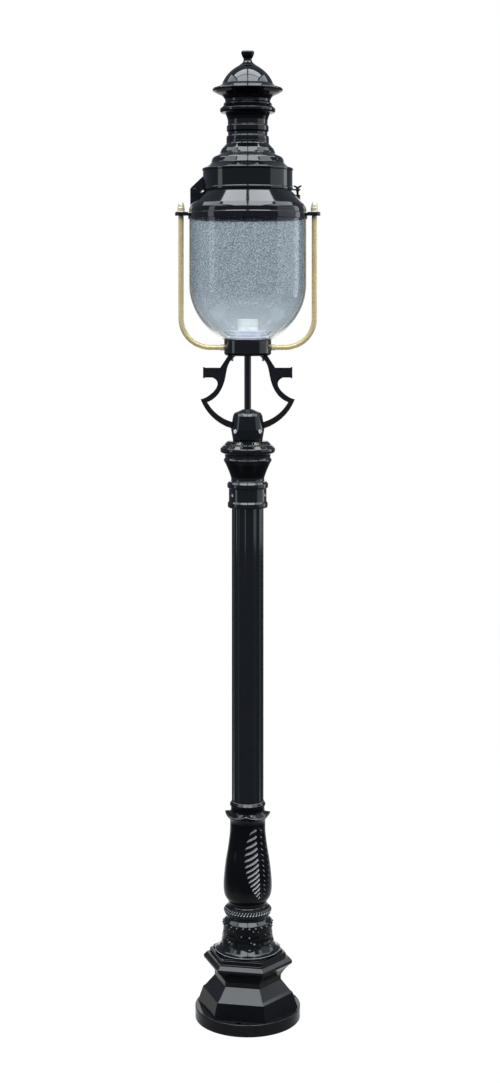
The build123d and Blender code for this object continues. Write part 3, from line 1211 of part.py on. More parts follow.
def lid_drum():
    """Hollow drum with a stepped roof, hinge cheeks on one side and the thumb-screw tab on the other."""
    bead = DRUM_RADIUS + DRUM_BEAD
    lip = SKIRT_OPENING + DRUM_LIP_INSET
    ovolo_in = ROOF_STEP_RADIUS + ROOF_LEDGE
    drum = Polyline(
        (lip, Z_LID),
        (bead, Z_LID),
        (bead, Z_LID + DRUM_BEAD_HEIGHT),
        (DRUM_RADIUS, Z_LID + DRUM_BEAD_HEIGHT + DRUM_BEAD),
        (DRUM_RADIUS, Z_ROOF_COVE - DRUM_BEAD_HEIGHT - DRUM_BEAD),
        (bead, Z_ROOF_COVE - DRUM_BEAD_HEIGHT),
        (bead, Z_ROOF_COVE - DRUM_BEAD),
        (ROOF_COVE_FOOT, Z_ROOF_COVE),
    )
    cove_foot = (ROOF_COVE_FOOT, Z_ROOF_COVE)
    cove_top = (ROOF_OVOLO_RADIUS, Z_OVOLO)
    bend = between((ROOF_OVOLO_RADIUS, Z_ROOF_COVE), (ROOF_COVE_FOOT, Z_OVOLO), ROOF_COVE_BEND)
    cove = ThreePointArc(cove_foot, bend, cove_top)
    ovolo = oval((ovolo_in, Z_OVOLO), ROOF_OVOLO_RADIUS - ovolo_in, ROOF_OVOLO_RISE, 0, 90)
    cap_foot = (ROOF_STEP_RADIUS, Z_ROOF_CAP)
    step = Polyline((ovolo_in, Z_ROOF_STEP), (ROOF_STEP_RADIUS, Z_ROOF_STEP), cap_foot)
    cap_shoulder = between((ROOF_CAP_RADIUS, Z_ROOF_CAP), (ROOF_STEP_RADIUS, Z_CHIMNEY), ROOF_CAP_SHOULDER)
    cap = ThreePointArc(cap_foot, cap_shoulder, (ROOF_CAP_RADIUS, Z_CHIMNEY))
    inside = Polyline(
        (ROOF_CAP_RADIUS, Z_CHIMNEY),
        (ROOF_OPENING, Z_CHIMNEY),
        (ROOF_OPENING, Z_CLAMP),
        (CLAMP_BORE, Z_CLAMP),
        (CLAMP_BORE, Z_ROOF_STEP),
        (ROOF_OVOLO_RADIUS - 3 * DRUM_WALL, Z_OVOLO),
        (ROOF_OVOLO_RADIUS - DRUM_WALL, Z_ROOF_COVE - DRUM_WALL),
        (DRUM_RADIUS - DRUM_WALL, Z_ROOF_COVE - 2 * DRUM_WALL),
        (DRUM_RADIUS - DRUM_WALL, Z_LID + DRUM_WALL),
        (lip, Z_LID + DRUM_WALL),
        (lip, Z_LID),
    )
    tab_hole = Pos(LATCH_REACH, 0, 0) * rod(LATCH_RADIUS + PIN_PLAY, Z_LID, Z_LID + DRUM_BEAD_HEIGHT)
    pin_length = TONGUE_THICKNESS + 4 * CHEEK_THICKNESS
    casting = turned(drum, cove, ovolo, step, cap, inside) + hinge_cheeks() + latch_tab()
    return casting - tab_hole - hinge_hole(pin_length)


def chimney():
    """Ribbed chimney with a heavy top ring."""
    collar = CHIMNEY_RADIUS + CHIMNEY_RIB
    z_foot = Z_CHIMNEY + CHIMNEY_FOOT_HEIGHT
    z_rib = Z_CHIMNEY + CHIMNEY_RIB_RISE
    z_rib_top = z_rib + CHIMNEY_RIB_HEIGHT
    z_ring = Z_HOOD - CHIMNEY_RING_HEIGHT
    ring_edge = CHIMNEY_RING_RADIUS - CHIMNEY_RING_ROUND
    side = Polyline(
        (CHIMNEY_BORE, Z_CHIMNEY),
        (collar, Z_CHIMNEY),
        (collar, z_foot),
        (CHIMNEY_RADIUS, z_foot + CHIMNEY_RIB),
        (CHIMNEY_RADIUS, z_rib),
        (collar, z_rib + CHIMNEY_RIB),
        (collar, z_rib_top - CHIMNEY_RIB),
        (CHIMNEY_RADIUS + CHIMNEY_RIB / 2, z_rib_top),
        (CHIMNEY_FLARE_RADIUS, Z_CHIMNEY + CHIMNEY_FLARE_HEIGHT),
        (ring_edge, z_ring),
    )
    ring_middle = (CHIMNEY_RING_RADIUS, (z_ring + Z_HOOD) / 2)
    nose = ThreePointArc((ring_edge, z_ring), ring_middle, (ring_edge, Z_HOOD))
    top = Polyline((ring_edge, Z_HOOD), (CHIMNEY_BORE, Z_HOOD), (CHIMNEY_BORE, Z_CHIMNEY))
    return turned(side, nose, top)


def hood():
    """Domed hood with a flared brim over the chimney's mouth."""
    z_flare = Z_HOOD + HOOD_NECK_HEIGHT
    z_lip = z_flare + HOOD_FLARE_HEIGHT
    z_lip_top = z_lip + HOOD_LIP_HEIGHT
    z_dome = z_lip_top + HOOD_SHOULDER_HEIGHT
    edge = HOOD_BRIM_RADIUS - HOOD_LIP_ROUND
    flare_foot = (HOOD_NECK_RADIUS, z_flare)
    flare = ThreePointArc(flare_foot, between(flare_foot, (edge, z_lip), HOOD_FLARE_BEND), (edge, z_lip))
    lip = ThreePointArc((edge, z_lip), (HOOD_BRIM_RADIUS, (z_lip + z_lip_top) / 2), (edge, z_lip_top))
    shoulder_bend = (HOOD_DOME_RADIUS + HOOD_SHOULDER_OUT, z_dome - HOOD_SHOULDER_DROP)
    shoulder = Spline((edge, z_lip_top), shoulder_bend, (HOOD_DOME_RADIUS, z_dome))
    bulge = between((HOOD_CROWN_RADIUS, z_dome), (HOOD_DOME_RADIUS, Z_FINIAL), HOOD_BULGE)
    dome = ThreePointArc((HOOD_DOME_RADIUS, z_dome), bulge, (HOOD_CROWN_RADIUS, Z_FINIAL))
    rod_hole = FINIAL_ROD_RADIUS + SCREW_PLAY
    inside = Polyline(
        (HOOD_CROWN_RADIUS, Z_FINIAL),
        (rod_hole, Z_FINIAL),
        (rod_hole, Z_FINIAL - HOOD_WALL),
        (HOOD_CROWN_RADIUS, Z_FINIAL - 2 * HOOD_WALL),
        (HOOD_NECK_RADIUS - HOOD_WALL, z_dome),
        (HOOD_NECK_RADIUS - HOOD_WALL, Z_HOOD),
        (HOOD_NECK_RADIUS + HOOD_NECK_SPLAY, Z_HOOD),
        (HOOD_NECK_RADIUS, Z_HOOD + HOOD_NECK_HEIGHT / 2),
        flare_foot,
    )
    return turned(flare, lip, shoulder, dome, inside)


def finial():
    """Turned knob on the hood, threaded for the clamp rod."""
    z_neck = Z_FINIAL + FINIAL_NECK_SHARE * FINIAL_HEIGHT
    z_knob = Z_FINIAL + FINIAL_KNOB_SHARE * FINIAL_HEIGHT
    z_top = Z_FINIAL + FINIAL_HEIGHT
    bend_radius = FINIAL_NECK_RADIUS + FINIAL_BEND_OUT * (FINIAL_FOOT_RADIUS - FINIAL_NECK_RADIUS)
    bend = (bend_radius, Z_FINIAL + FINIAL_BEND_SHARE * FINIAL_HEIGHT)
    stalk = ThreePointArc((FINIAL_FOOT_RADIUS, Z_FINIAL), bend, (FINIAL_NECK_RADIUS, z_neck))
    knob = Spline((FINIAL_NECK_RADIUS, z_neck), (FINIAL_KNOB_RADIUS, z_knob), (FINIAL_TOP_RADIUS, z_top))
    core = Polyline((FINIAL_TOP_RADIUS, z_top), (0, z_top), (0, Z_FINIAL), (FINIAL_FOOT_RADIUS, Z_FINIAL))
    thread = rod(FINIAL_ROD_RADIUS + SCREW_PLAY, Z_FINIAL, Z_FINIAL + FINIAL_THREAD)
    return turned(stalk, knob, core) - thread


def finial_rod():
    """Threaded rod from the finial down to the clamp bar."""
    low = Z_CLAMP - CLAMP_BAR_THICKNESS - ROD_NUT_HEIGHT - ROD_OVERRUN
    return rod(FINIAL_ROD_RADIUS, low, Z_FINIAL + FINIAL_THREAD - THREAD_ROOM)


def clamp_bar():
    """Flat bar under the roof's opening that the finial's rod pulls against."""
    length = 2 * (ROOF_OPENING + CLAMP_BAR_OVERLAP)
    low = Z_CLAMP - CLAMP_BAR_THICKNESS
    bar = Pos(0, 0, low) * Box(CLAMP_BAR_WIDTH, length, CLAMP_BAR_THICKNESS, align=LOW)
    return bar - rod(FINIAL_ROD_RADIUS + SCREW_PLAY, low, Z_CLAMP)


def rod_nut():
    """Nut under the clamp bar."""
    high = Z_CLAMP - CLAMP_BAR_THICKNESS
    return hex_nut(ROD_NUT_FLATS, FINIAL_ROD_RADIUS + SCREW_PLAY, high - ROD_NUT_HEIGHT, high)


def hinge_pin():
    """Riveted steel pin through the cheeks and the tongue."""
    reach = TONGUE_THICKNESS / 2 + SIDE_PLAY + CHEEK_THICKNESS
    place = Pos(-HINGE_REACH, 0, Z_LID) * Rot(90, 0, 0)
    head = Cylinder(PIN_HEAD_RADIUS, PIN_HEAD_HEIGHT)
    heads = [Pos(0, 0, side * (reach + PIN_HEAD_HEIGHT / 2)) * head for side in (-1, 1)]
    return place * (Cylinder(HINGE_PIN_RADIUS, 2 * reach) + heads)


def thumb_screw():
    """Captive winged screw in the lid's tab, whose tip stands in the skirt's boss."""
    tab_low = Z_LID + SIDE_PLAY
    tab_high = tab_low + LATCH_TAB_THICKNESS
    hub_low = tab_high + SIDE_PLAY
    hub_high = hub_low + LATCH_HUB_HEIGHT
    shank = rod(LATCH_RADIUS, Z_LID - LATCH_BOSS_DROP - LATCH_TIP, hub_high)
    collar = rod(LATCH_COLLAR_RADIUS, tab_low - SIDE_PLAY - LATCH_COLLAR_HEIGHT, tab_low - SIDE_PLAY)
    hub = rod(LATCH_COLLAR_RADIUS, hub_low, hub_high)
    wing_low = hub_high - LATCH_WING_SINK
    wing = Polyline(
        (0, wing_low),
        (LATCH_WING_ROOT, wing_low),
        (LATCH_WING_SPAN, wing_low + LATCH_WING_SHOULDER),
        (LATCH_WING_SPAN, wing_low + LATCH_WING_HEIGHT),
        (LATCH_WING_ROOT, wing_low + 2 * LATCH_WING_SHOULDER),
        (0, wing_low + LATCH_WING_SHOULDER),
        close=True,
    )
    wings = both_sides(plate(LATCH_WING_THICKNESS, wing))
    return Pos(LATCH_REACH, 0, 0) * (shank + collar + hub + wings)


PIECES = (
    pedestal_base,
    pedestal_bell,
    cable_grommet,
    rope_collar,
    baluster,
    column_tube,
    tie_rod,
    tie_washers,
    tie_nuts,
    capital,
    capital_grub_screws,
    post_top_dome,
    dome_screws,
    stem_tube,
    stem_nuts,
    left_frog_bracket,
    right_frog_bracket,
    bracket_screws,
    gallery_cup,
    left_arm,
    right_arm,
    arm_collars,
    arm_nuts,
    arm_washers,
    acorn_nuts,
    lamp_plate,
    plate_screws,
    holder_nipple,
    nipple_nut,
    lampholder_body,
    lampholder_ring,
    socket_shell,
    centre_contact,
    seal_ring,
    bowl_gasket,
    glass_bowl,
    rim_gasket,
    canopy,
    lid_gasket,
    lid_drum,
    chimney,
    hood,
    finial,
    finial_rod,
    clamp_bar,
    rod_nut,
    hinge_pin,
    thumb_screw,
)

os.makedirs("parts", exist_ok=True)
for piece in PIECES:
    export_step(piece(), "parts/" + piece.__name__ + ".step")
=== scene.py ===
import bmesh
import bpy
import numpy as np
from mathutils import Matrix, Vector


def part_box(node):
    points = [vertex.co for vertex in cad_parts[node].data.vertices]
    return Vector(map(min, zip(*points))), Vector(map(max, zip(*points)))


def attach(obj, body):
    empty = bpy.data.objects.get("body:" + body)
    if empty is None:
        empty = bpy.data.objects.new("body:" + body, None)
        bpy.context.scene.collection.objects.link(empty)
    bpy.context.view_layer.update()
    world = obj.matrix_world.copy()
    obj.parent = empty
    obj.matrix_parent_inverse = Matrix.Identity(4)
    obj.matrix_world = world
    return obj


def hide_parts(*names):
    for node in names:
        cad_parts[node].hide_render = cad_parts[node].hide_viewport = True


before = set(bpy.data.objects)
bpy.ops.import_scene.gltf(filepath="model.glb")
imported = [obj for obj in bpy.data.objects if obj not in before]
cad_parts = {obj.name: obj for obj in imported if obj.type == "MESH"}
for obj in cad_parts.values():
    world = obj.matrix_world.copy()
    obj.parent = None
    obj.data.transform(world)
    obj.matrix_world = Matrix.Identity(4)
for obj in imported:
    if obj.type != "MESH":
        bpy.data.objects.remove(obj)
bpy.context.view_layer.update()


# Pedestal
# The post's foot: a hollow iron casting in black gloss paint. On a round rim with three anchor holes stands
# a hexagon with a tapered plinth, a sloped waist, a cove and a bevelled edge; the tie rod's nut pulls on
# its web.

MM = 0.001
BLACK_PAINT = (0.0032, 0.0036, 0.0046, 1)
PAINT_DUST = (0.018, 0.019, 0.02, 1)
# Pale grey painted on the up-facing ridges of the relief: a painted highlight.
PAINTED_HIGHLIGHT = (0.42, 0.44, 0.46, 1)
PAINT = {"Colour": BLACK_PAINT, "Dust": 0.3, "Peel": 0.05}
WAVE = 0.0001
UNDERCOAT_SHINE = 0.05
SMOOTH_BELOW = np.radians(36)
ARC_SHARES = np.linspace(0, 1, 9)[None, :, None]


def soften(outline, closed=False):
    """Round the corners of an outline of (across, up, rounding) corners. Each corner becomes a conic arc
    between two points on its sides, a tangent length away, weighted by the cosine of half its turn;
    neighbouring arcs share a side in proportion to their tangent lengths."""
    outline = np.array(outline, float)
    corner = outline[:, :2]
    ahead = np.roll(corner, -1, axis=0) - corner
    length = np.maximum(np.linalg.norm(ahead, axis=1), 1e-9)
    ahead /= length[:, None]
    back = -np.roll(ahead, 1, axis=0)
    half_turn = np.arccos(np.clip(-(ahead * back).sum(axis=1), -1, 1)) / 2
    tangent = outline[:, 2] * np.tan(np.minimum(half_turn, 1.5))
    if not closed:
        tangent[[0, -1]] = 0
    room = np.minimum(1, length / np.maximum(tangent + np.roll(tangent, -1), 1e-9))
    start = corner + back * (tangent * np.roll(room, 1))[:, None]
    end = corner + ahead * (tangent * room)[:, None]
    middle_weight = 2 * ARC_SHARES * (1 - ARC_SHARES) * np.cos(half_turn)[:, None, None]
    start_weight = (1 - ARC_SHARES) ** 2
    end_weight = ARC_SHARES**2
    points = start_weight * start[:, None] + middle_weight * corner[:, None] + end_weight * end[:, None]
    return (points / (start_weight + middle_weight + end_weight)).reshape(-1, 2)


def stand(name, data):
    """New object in the scene, at the origin."""
    made = bpy.data.objects.new(name, data)
    bpy.context.scene.collection.objects.link(made)
    return made


def skin(name, points, closed=False):
    """Closed surface through a grid of points in millimetres, [row, column]. The columns run once round and
    join up. The rows join up on a closed section; otherwise the first and last row are capped."""
    rows, columns = points.shape[:2]
    index = np.arange(rows * columns).reshape(rows, columns)
    beside, above = np.roll(index, -1, axis=1), np.roll(index, -1, axis=0)
    cells = np.stack([index, beside, np.roll(above, -1, axis=1), above], -1)
    cells = (cells if closed else cells[:-1]).reshape(-1, 4)
    mesh = bpy.data.meshes.new(name)
    mesh.from_pydata((points * MM).reshape(-1, 3), [], cells)
    work = bmesh.new()
    work.from_mesh(mesh)
    bmesh.ops.remove_doubles(work, verts=work.verts, dist=2e-6)
    bmesh.ops.holes_fill(work, edges=work.edges, sides=0)
    bmesh.ops.recalc_face_normals(work, faces=work.faces)
    work.to_mesh(mesh)
    work.free()
    return stand(name, mesh)


def full_turn(columns):
    """Evenly spaced angles, once round."""
    return np.linspace(0, 2 * np.pi, columns, endpoint=False)


def around(radius, angle, height):
    """Points at a radius, an angle and a height about the post's axis."""
    return np.stack([radius * np.cos(angle), radius * np.sin(angle), height + 0 * angle], -1)


def turned(name, section, foot=0.0, columns=160, closed=False):
    """Turn a section of (radius, height) points about the post's axis: each point becomes a ring
    (radius cos a, radius sin a, foot + height) over one full turn of the angle a."""
    return skin(name, around(section[:, :1], full_turn(columns), foot + section[:, 1:]), closed)


def casting(name, section, foot=0.0, columns=160):
    """Turned ring or cup: a closed section with rounded corners, carried once round."""
    return turned(name, soften(section, True), foot, columns, True)


def bar(name, radius, start, end, place=(0, 0, 0), along=(0, 0, 1), columns=48):
    """Plain round bar, for a hole or a boss: a circle carried from start to end along a line through a
    place."""
    section = np.array([(0, start), (radius, start), (radius, end), (0, end)], float)
    made = turned(name, section, columns=columns)
    turn = Vector((0, 0, 1)).rotation_difference(Vector(along)).to_matrix().to_4x4()
    made.data.transform(Matrix.Translation(MM * Vector(place)) @ turn)
    return made


def join(piece, tool, operation):
    """Unite two closed shells, or cut the second out of the first; the second is used up."""
    step = piece.modifiers.new("join", "BOOLEAN")
    step.object = tool
    step.operation = operation
    step.solver = "MANIFOLD"
    graph = bpy.context.evaluated_depsgraph_get()
    mesh = bpy.data.meshes.new_from_object(piece.evaluated_get(graph))
    piece.modifiers.clear()
    piece.data = mesh
    bpy.data.objects.remove(tool)
    return piece


def fit(piece, body, slot, material, *nodes, even=True):
    """Finish a piece and hang it on its body in place of its plain nodes: its rounded edges are shaded
    smooth, its flats stay flat, and it gets its material."""
    piece.data.shade_smooth()
    piece.data.set_sharp_from_angle(angle=SMOOTH_BELOW)
    if even:
        normals = piece.modifiers.new("even_normals", "WEIGHTED_NORMAL")
        normals.weight = 100
        normals.keep_sharp = True
    piece.data.materials.clear()
    piece.data.materials.append(material)
    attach(piece, body)
    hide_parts(*nodes)


def add(tree, kind, sockets=None, **options):
    """Place a shader node; sockets holds its input values, or the outputs that feed them."""
    made = tree.nodes.new(kind)
    for option, value in options.items():
        setattr(made, option, value)
    for socket, value in (sockets or {}).items():
        if isinstance(value, bpy.types.NodeSocket):
            tree.links.new(value, made.inputs[socket])
        else:
            made.inputs[socket].default_value = value
    return made


def feed(tree, node, sources):
    """Link outputs to a node's inputs by name."""
    for socket, source in sources.items():
        tree.links.new(source, node.inputs[socket])


def effect(name, colours, values, outputs):
    """Empty node group with inputs for colours and values, what its inputs give, and its end. Each output
    is a value, apart from the one named Colour."""
    tree = bpy.data.node_groups.new(name, "ShaderNodeTree")
    for kind, labels in (("NodeSocketColor", colours), ("NodeSocketFloat", values)):
        for label in labels:
            tree.interface.new_socket(label, in_out="INPUT", socket_type=kind)
    for label in outputs:
        kind = "NodeSocketColor" if label == "Colour" else "NodeSocketFloat"
        tree.interface.new_socket(label, in_out="OUTPUT", socket_type=kind)
    return tree, tree.nodes.new("NodeGroupInput").outputs, tree.nodes.new("NodeGroupOutput")


def noise(tree, vector, scale, detail=2.0, roughness=0.5):
    """Noise value of a given number of waves a metre."""
    sockets = {"Vector": vector, "Scale": scale, "Detail": detail, "Roughness": roughness}
    return add(tree, "ShaderNodeTexNoise", sockets).outputs["Fac"]


def remap(tree, value, low, high, to_low=0.0, to_high=1.0):
    """Stretch a value from one range to another, clamped."""
    sockets = {"Value": value, "From Min": low, "From Max": high, "To Min": to_low, "To Max": to_high}
    return add(tree, "ShaderNodeMapRange", sockets).outputs["Result"]


def math(tree, operation, first, second=0.0):
    """One sum on two values."""
    return add(tree, "ShaderNodeMath", {0: first, 1: second}, operation=operation).outputs[0]


def mix_colour(tree, share, first, second):
    """Blend of two colours."""
    sockets = {"Factor": share, 6: first, 7: second}
    return add(tree, "ShaderNodeMix", sockets, data_type="RGBA").outputs[2]


def weathering_and_highlight():
    """Finish that has stood outdoors, with a painted highlight: dust on what faces up, pale grey painted on
    the sharp ridges of the relief where they face up as a painted highlight, patches of duller gloss, an
    uneven skin made of fine orange peel and the slow waves of the casting under it, and a mask of what faces
    up enough for the rain to wash, where the gloss stays clean."""
    tree, given, result = effect(
        "Weathering and painted highlight",
        ("Colour",),
        ("Dust", "Gloss", "Dull", "Peel", "Painted highlight", "Wash line"),
        ("Colour", "Roughness", "Height", "Washed"),
    )
    place = add(tree, "ShaderNodeTexCoord").outputs["Object"]
    form = add(tree, "ShaderNodeNewGeometry").outputs
    tilt = add(tree, "ShaderNodeSeparateXYZ", {0: form["Normal"]}).outputs["Z"]
    upward = remap(tree, tilt, 0.1, 0.95)
    # Painted highlight: the sharp ridges of the relief are painted pale grey, only on their up-facing side.
    painted_highlight_mask = math(tree, "MULTIPLY", remap(tree, form["Pointiness"], 0.52, 0.56), remap(tree, tilt, 0.1, 0.5))
    painted_highlight_mask = math(tree, "MULTIPLY", painted_highlight_mask, given["Painted highlight"])
    patches = remap(tree, noise(tree, place, 38, 5, 0.65), 0.38, 0.72)
    lying = math(tree, "MULTIPLY", math(tree, "MULTIPLY", upward, patches), given["Dust"])
    colour = mix_colour(tree, lying, given["Colour"], PAINT_DUST)
    colour = mix_colour(tree, painted_highlight_mask, colour, PAINTED_HIGHLIGHT)
    dull = remap(tree, noise(tree, place, 17, 4, 0.6), 0.45, 0.75)
    dull = math(tree, "MAXIMUM", math(tree, "MULTIPLY", dull, 0.35), lying)
    rough = add(tree, "ShaderNodeMix", {"Factor": dull, 2: given["Gloss"], 3: given["Dull"]}).outputs[0]
    peel = math(tree, "MULTIPLY", noise(tree, place, 420, 1), given["Peel"])
    height = math(tree, "ADD", peel, noise(tree, place, 48, 2))
    washed = remap(tree, math(tree, "SUBTRACT", tilt, given["Wash line"]), 0.0, 0.25, 0.08, 1.0)
    feed(tree, result, {"Colour": colour, "Roughness": rough, "Height": height, "Washed": washed})
    return tree


WEATHERING_AND_HIGHLIGHT = weathering_and_highlight()


def surface(name, **constants):
    """New material with a Principled shader whose plain values are set on its own sockets."""
    material = bpy.data.materials.new(name)
    material.use_nodes = True
    shader = material.node_tree.nodes["Principled BSDF"]
    for socket, value in constants.items():
        shader.inputs[socket.replace("_", " ")].default_value = value
    return material, material.node_tree, shader


def finished(name, group, look, depth, **constants):
    """Material whose colour, gloss and skin come from an effect set to a look; depth is the skin's height
    in metres. A look with a wash line has a clear coat on what faces up past it."""
    material, tree, shader = surface(name, **constants)
    finish = add(tree, "ShaderNodeGroup", look, node_tree=group)
    relief = {"Height": finish.outputs["Height"], "Strength": 1.0, "Distance": depth}
    bump = add(tree, "ShaderNodeBump", relief).outputs["Normal"]
    colour, roughness = finish.outputs["Colour"], finish.outputs["Roughness"]
    feed(tree, shader, {"Base Color": colour, "Roughness": roughness, "Normal": bump})
    if "Wash line" in look:
        feed(tree, shader, {"Coat Weight": finish.outputs["Washed"]})
    return material


def gloss_paint(name, gloss, dull, wash, coat_index, highlight_share=0.0, wave=WAVE):
    """Weathered black paint whose gloss is its clear coat, with a share of painted highlight on the up-facing
    ridges of its relief.
    """
    look = {**PAINT, "Gloss": gloss, "Dull": dull, "Painted highlight": highlight_share, "Wash line": wash}
    coat = {"Coat_IOR": coat_index, "Coat_Roughness": gloss, "Specular_IOR_Level": UNDERCOAT_SHINE}
    return finished(name, WEATHERING_AND_HIGHLIGHT, look, wave, **coat)


FOOT_PAINT = gloss_paint("foot_paint", gloss=0.1, dull=0.24, wash=0.35, coat_index=1.42)
HEX_TURN = 49.6
HEX_EDGE_ROUND = 3.5
HEX_TOP = 163.0
FOOT_SECTION = [(0, 0, 0), (125, 0, 1), (125, 28, 2), (0, 28, 0)]
HEX_SECTION = [
    (122, 26, 0), (109, 62.5, 1.4), (102.5, 67.5, 1.2), (80.5, 92.5, 3), (81, 103, 3), (91, 118, 99),
    (106.5, 131.5, 1), (107.6, 133, 1), (107.6, 138, 1.4), (100, 146, 1.2), (92.5, 147, 1.5),
    (92, 156.5, 1.4), (84, 157.5, 1), (84, HEX_TOP, 0.5),
]
CAVITY_SECTION = [(0, -5, 0), (96, -5, 0), (96, 20, 3), (60, 96, 5), (60, 153, 2), (0, 153, 0)]
REGISTER_SECTION = [(40.9, 162, 0), (43.9, 162, 0), (43.9, 167, 0.5), (40.9, 167, 0.5)]
ANCHOR_CIRCLE = 116.19
ANCHOR_HOLE = 6.0
ANCHOR_CUT = (-5, 64)
TIE_HOLE = 8.05
GROMMET_HOLE = 8.5
GROMMET_PLACE = 28.0
WEB_CUT = (140, 170)


def hexagon(name, section):
    """Hexagonal stack: at each height a hexagon of that corner radius, whose corners are arcs of one sixth
    of a turn about points drawn in from the corners by the rounding."""
    corner = np.radians(HEX_TURN + 60 * np.arange(6))[:, None]
    turn = corner + np.radians(np.linspace(-30, 30, 9))
    radius, height = section[:, :1, None], section[:, 1:, None]
    drawn_in = radius - HEX_EDGE_ROUND / np.cos(np.radians(30))
    x = drawn_in * np.cos(corner) + HEX_EDGE_ROUND * np.cos(turn)
    y = drawn_in * np.sin(corner) + HEX_EDGE_ROUND * np.sin(turn)
    rings = np.stack([x, y, height + 0 * x], -1)
    return skin(name, rings.reshape(len(section), -1, 3))


pedestal = turned("pedestal_casting", soften(FOOT_SECTION))
join(pedestal, hexagon("hexagon", soften(HEX_SECTION)), "UNION")
join(pedestal, turned("cavity", soften(CAVITY_SECTION)), "DIFFERENCE")
join(pedestal, casting("register", REGISTER_SECTION), "UNION")
join(pedestal, bar("tie_hole", TIE_HOLE, *WEB_CUT), "DIFFERENCE")
join(pedestal, bar("grommet_hole", GROMMET_HOLE, *WEB_CUT, (0, GROMMET_PLACE, 0)), "DIFFERENCE")
for anchor in np.radians(HEX_TURN - 30 + 120 * np.arange(3)):
    place = (ANCHOR_CIRCLE * np.cos(anchor), ANCHOR_CIRCLE * np.sin(anchor), 0)
    join(pedestal, bar("anchor_hole", ANCHOR_HOLE, *ANCHOR_CUT, place), "DIFFERENCE")
fit(pedestal, "post", "black_paint", FOOT_PAINT, "pedestal_base")


# Bell
# Round iron casting that stands on the hexagon, black gloss paint. Six broad leaves hang over its flared
# foot, a row of beads runs under its shoulder, and drops lie on the leaves.


def levels(node):
    """Lowest and highest level of a plain node, in millimetres."""
    low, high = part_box(node)
    return low.z / MM, high.z / MM


BELL_FOOT = levels("pedestal_bell")[0]
BELL_SIDE = [
    (78, 0, 0.3), (70, 4.5, 8), (62, 17, 20), (58.6, 36, 14), (57.8, 66, 4), (49.5, 74.5, 3), (49.5, 78, 1),
    (48, 80, 0.5),
]
BELL_INSIDE = [(44, 80), (44, 0)]
LEAF_COUNT = 6
LEAF_MIDDLE = -86.0
LEAF_TIP = 11.0
LEAF_SCALLOP = 13.0
LEAF_ROUND = 1.5
LEAF_SOFT = 0.7
LEAF_RADIUS = 59.2
LEAF_SPREAD = 0.36
LEAF_STRAIGHT = 30.0
BAND_RISE = (36, 46)
GROUND_DEPTH = 5.0
GROUND_RISE = (6, 27)
MIDRIB = (0.7, 10)
LEAF_GAP = (1.6, 11)
GROOVE_START = (12, 20)
GROOVE_END = (48, 54)
BEAD_COUNT = 24
BEAD_HEIGHT = 61.5
BEAD_RADIUS = 3.0
LEAF_DROPS = (
    (-0.62, 43, 2.6), (0, 41, 3.0), (0.36, 26, 3.4), (0.31, 55, 2.6), (0.7, 53, 2.2), (0.12, 30, 2.0),
)
DROP_SUNK = 0.4


def spaced(section, step):
    """Points a set distance apart along an outline."""
    leg = np.linalg.norm(np.diff(section, axis=0), axis=1)
    run = np.concatenate([[0], np.cumsum(leg)])
    at = np.linspace(0, run[-1], int(run[-1] / step) + 1)
    return np.stack([np.interp(at, run, section[:, 0]), np.interp(at, run, section[:, 1])], -1)


def rise(value, low, high):
    """Smooth step from 0 to 1 between two values."""
    share = np.clip((value - low) / (high - low), 0, 1)
    return share * share * (3 - 2 * share)


def nearest(angle, first, count):
    """Signed angle in degrees from the nearest of a number of directions spread round the axis."""
    pitch = 360 / count
    return (np.degrees(angle) - first + pitch / 2) % pitch - pitch / 2


def dome(distance, radius):
    """Height of a half ball over its flat, at a distance from its middle."""
    return np.sqrt(np.maximum(radius**2 - distance**2, 0))


def crease(away, depth, sharpness):
    """Bell curve across a rib or a groove, narrower the sharper it is."""
    return depth * np.exp(-((away * sharpness) ** 2))


def carved(name, side, inside, relief, foot, columns):
    """Turned casting with relief: each point of the side moves straight out by the relief at its angle,
    radius and height; the inside stays plain."""
    angle = full_turn(columns)
    bore = np.array(inside, float)
    radius = np.concatenate([side[:, :1] + relief(angle, side[:, :1], side[:, 1:]), bore[:, :1] + 0 * angle])
    return skin(name, around(radius, angle, foot + np.concatenate([side[:, 1:], bore[:, 1:]])), True)


def bell_leaves(angle, radius, height):
    """Hanging leaves: the ground lies back behind them, and each leaf falls almost straight from the band
    to an edge that dips to its tip, creased at its midrib and between it and the next; then the bead row
    under the shoulder and the drops on the leaves."""
    across = nearest(angle, LEAF_MIDDLE, LEAF_COUNT) / (180 / LEAF_COUNT)
    edge = LEAF_TIP + LEAF_SCALLOP * np.abs(across) ** LEAF_ROUND
    inside = rise(height, edge - LEAF_SOFT, edge + LEAF_SOFT)
    below = 1 - rise(height, *BAND_RISE)
    ground = -GROUND_DEPTH * rise(height, *GROUND_RISE) * below
    leaf = np.minimum(LEAF_RADIUS + LEAF_SPREAD * np.maximum(LEAF_STRAIGHT - height, 0) - radius, 1) * below
    groove = crease(across, *MIDRIB) + crease(1 - np.abs(across), *LEAF_GAP)
    leaf = leaf - groove * rise(height, *GROOVE_START) * (1 - rise(height, *GROOVE_END))
    proud = np.where(leaf > ground, ground + (leaf - ground) * inside, ground)
    arc = np.radians(nearest(angle, LEAF_MIDDLE, BEAD_COUNT)) * radius
    proud = np.maximum(proud, dome(np.hypot(arc, height - BEAD_HEIGHT), BEAD_RADIUS))
    for place, level, size in LEAF_DROPS:
        arc = np.radians((across - place) * 180 / LEAF_COUNT) * radius
        proud = np.maximum(proud, dome(np.hypot(arc, height - level), size) - DROP_SUNK)
    return proud


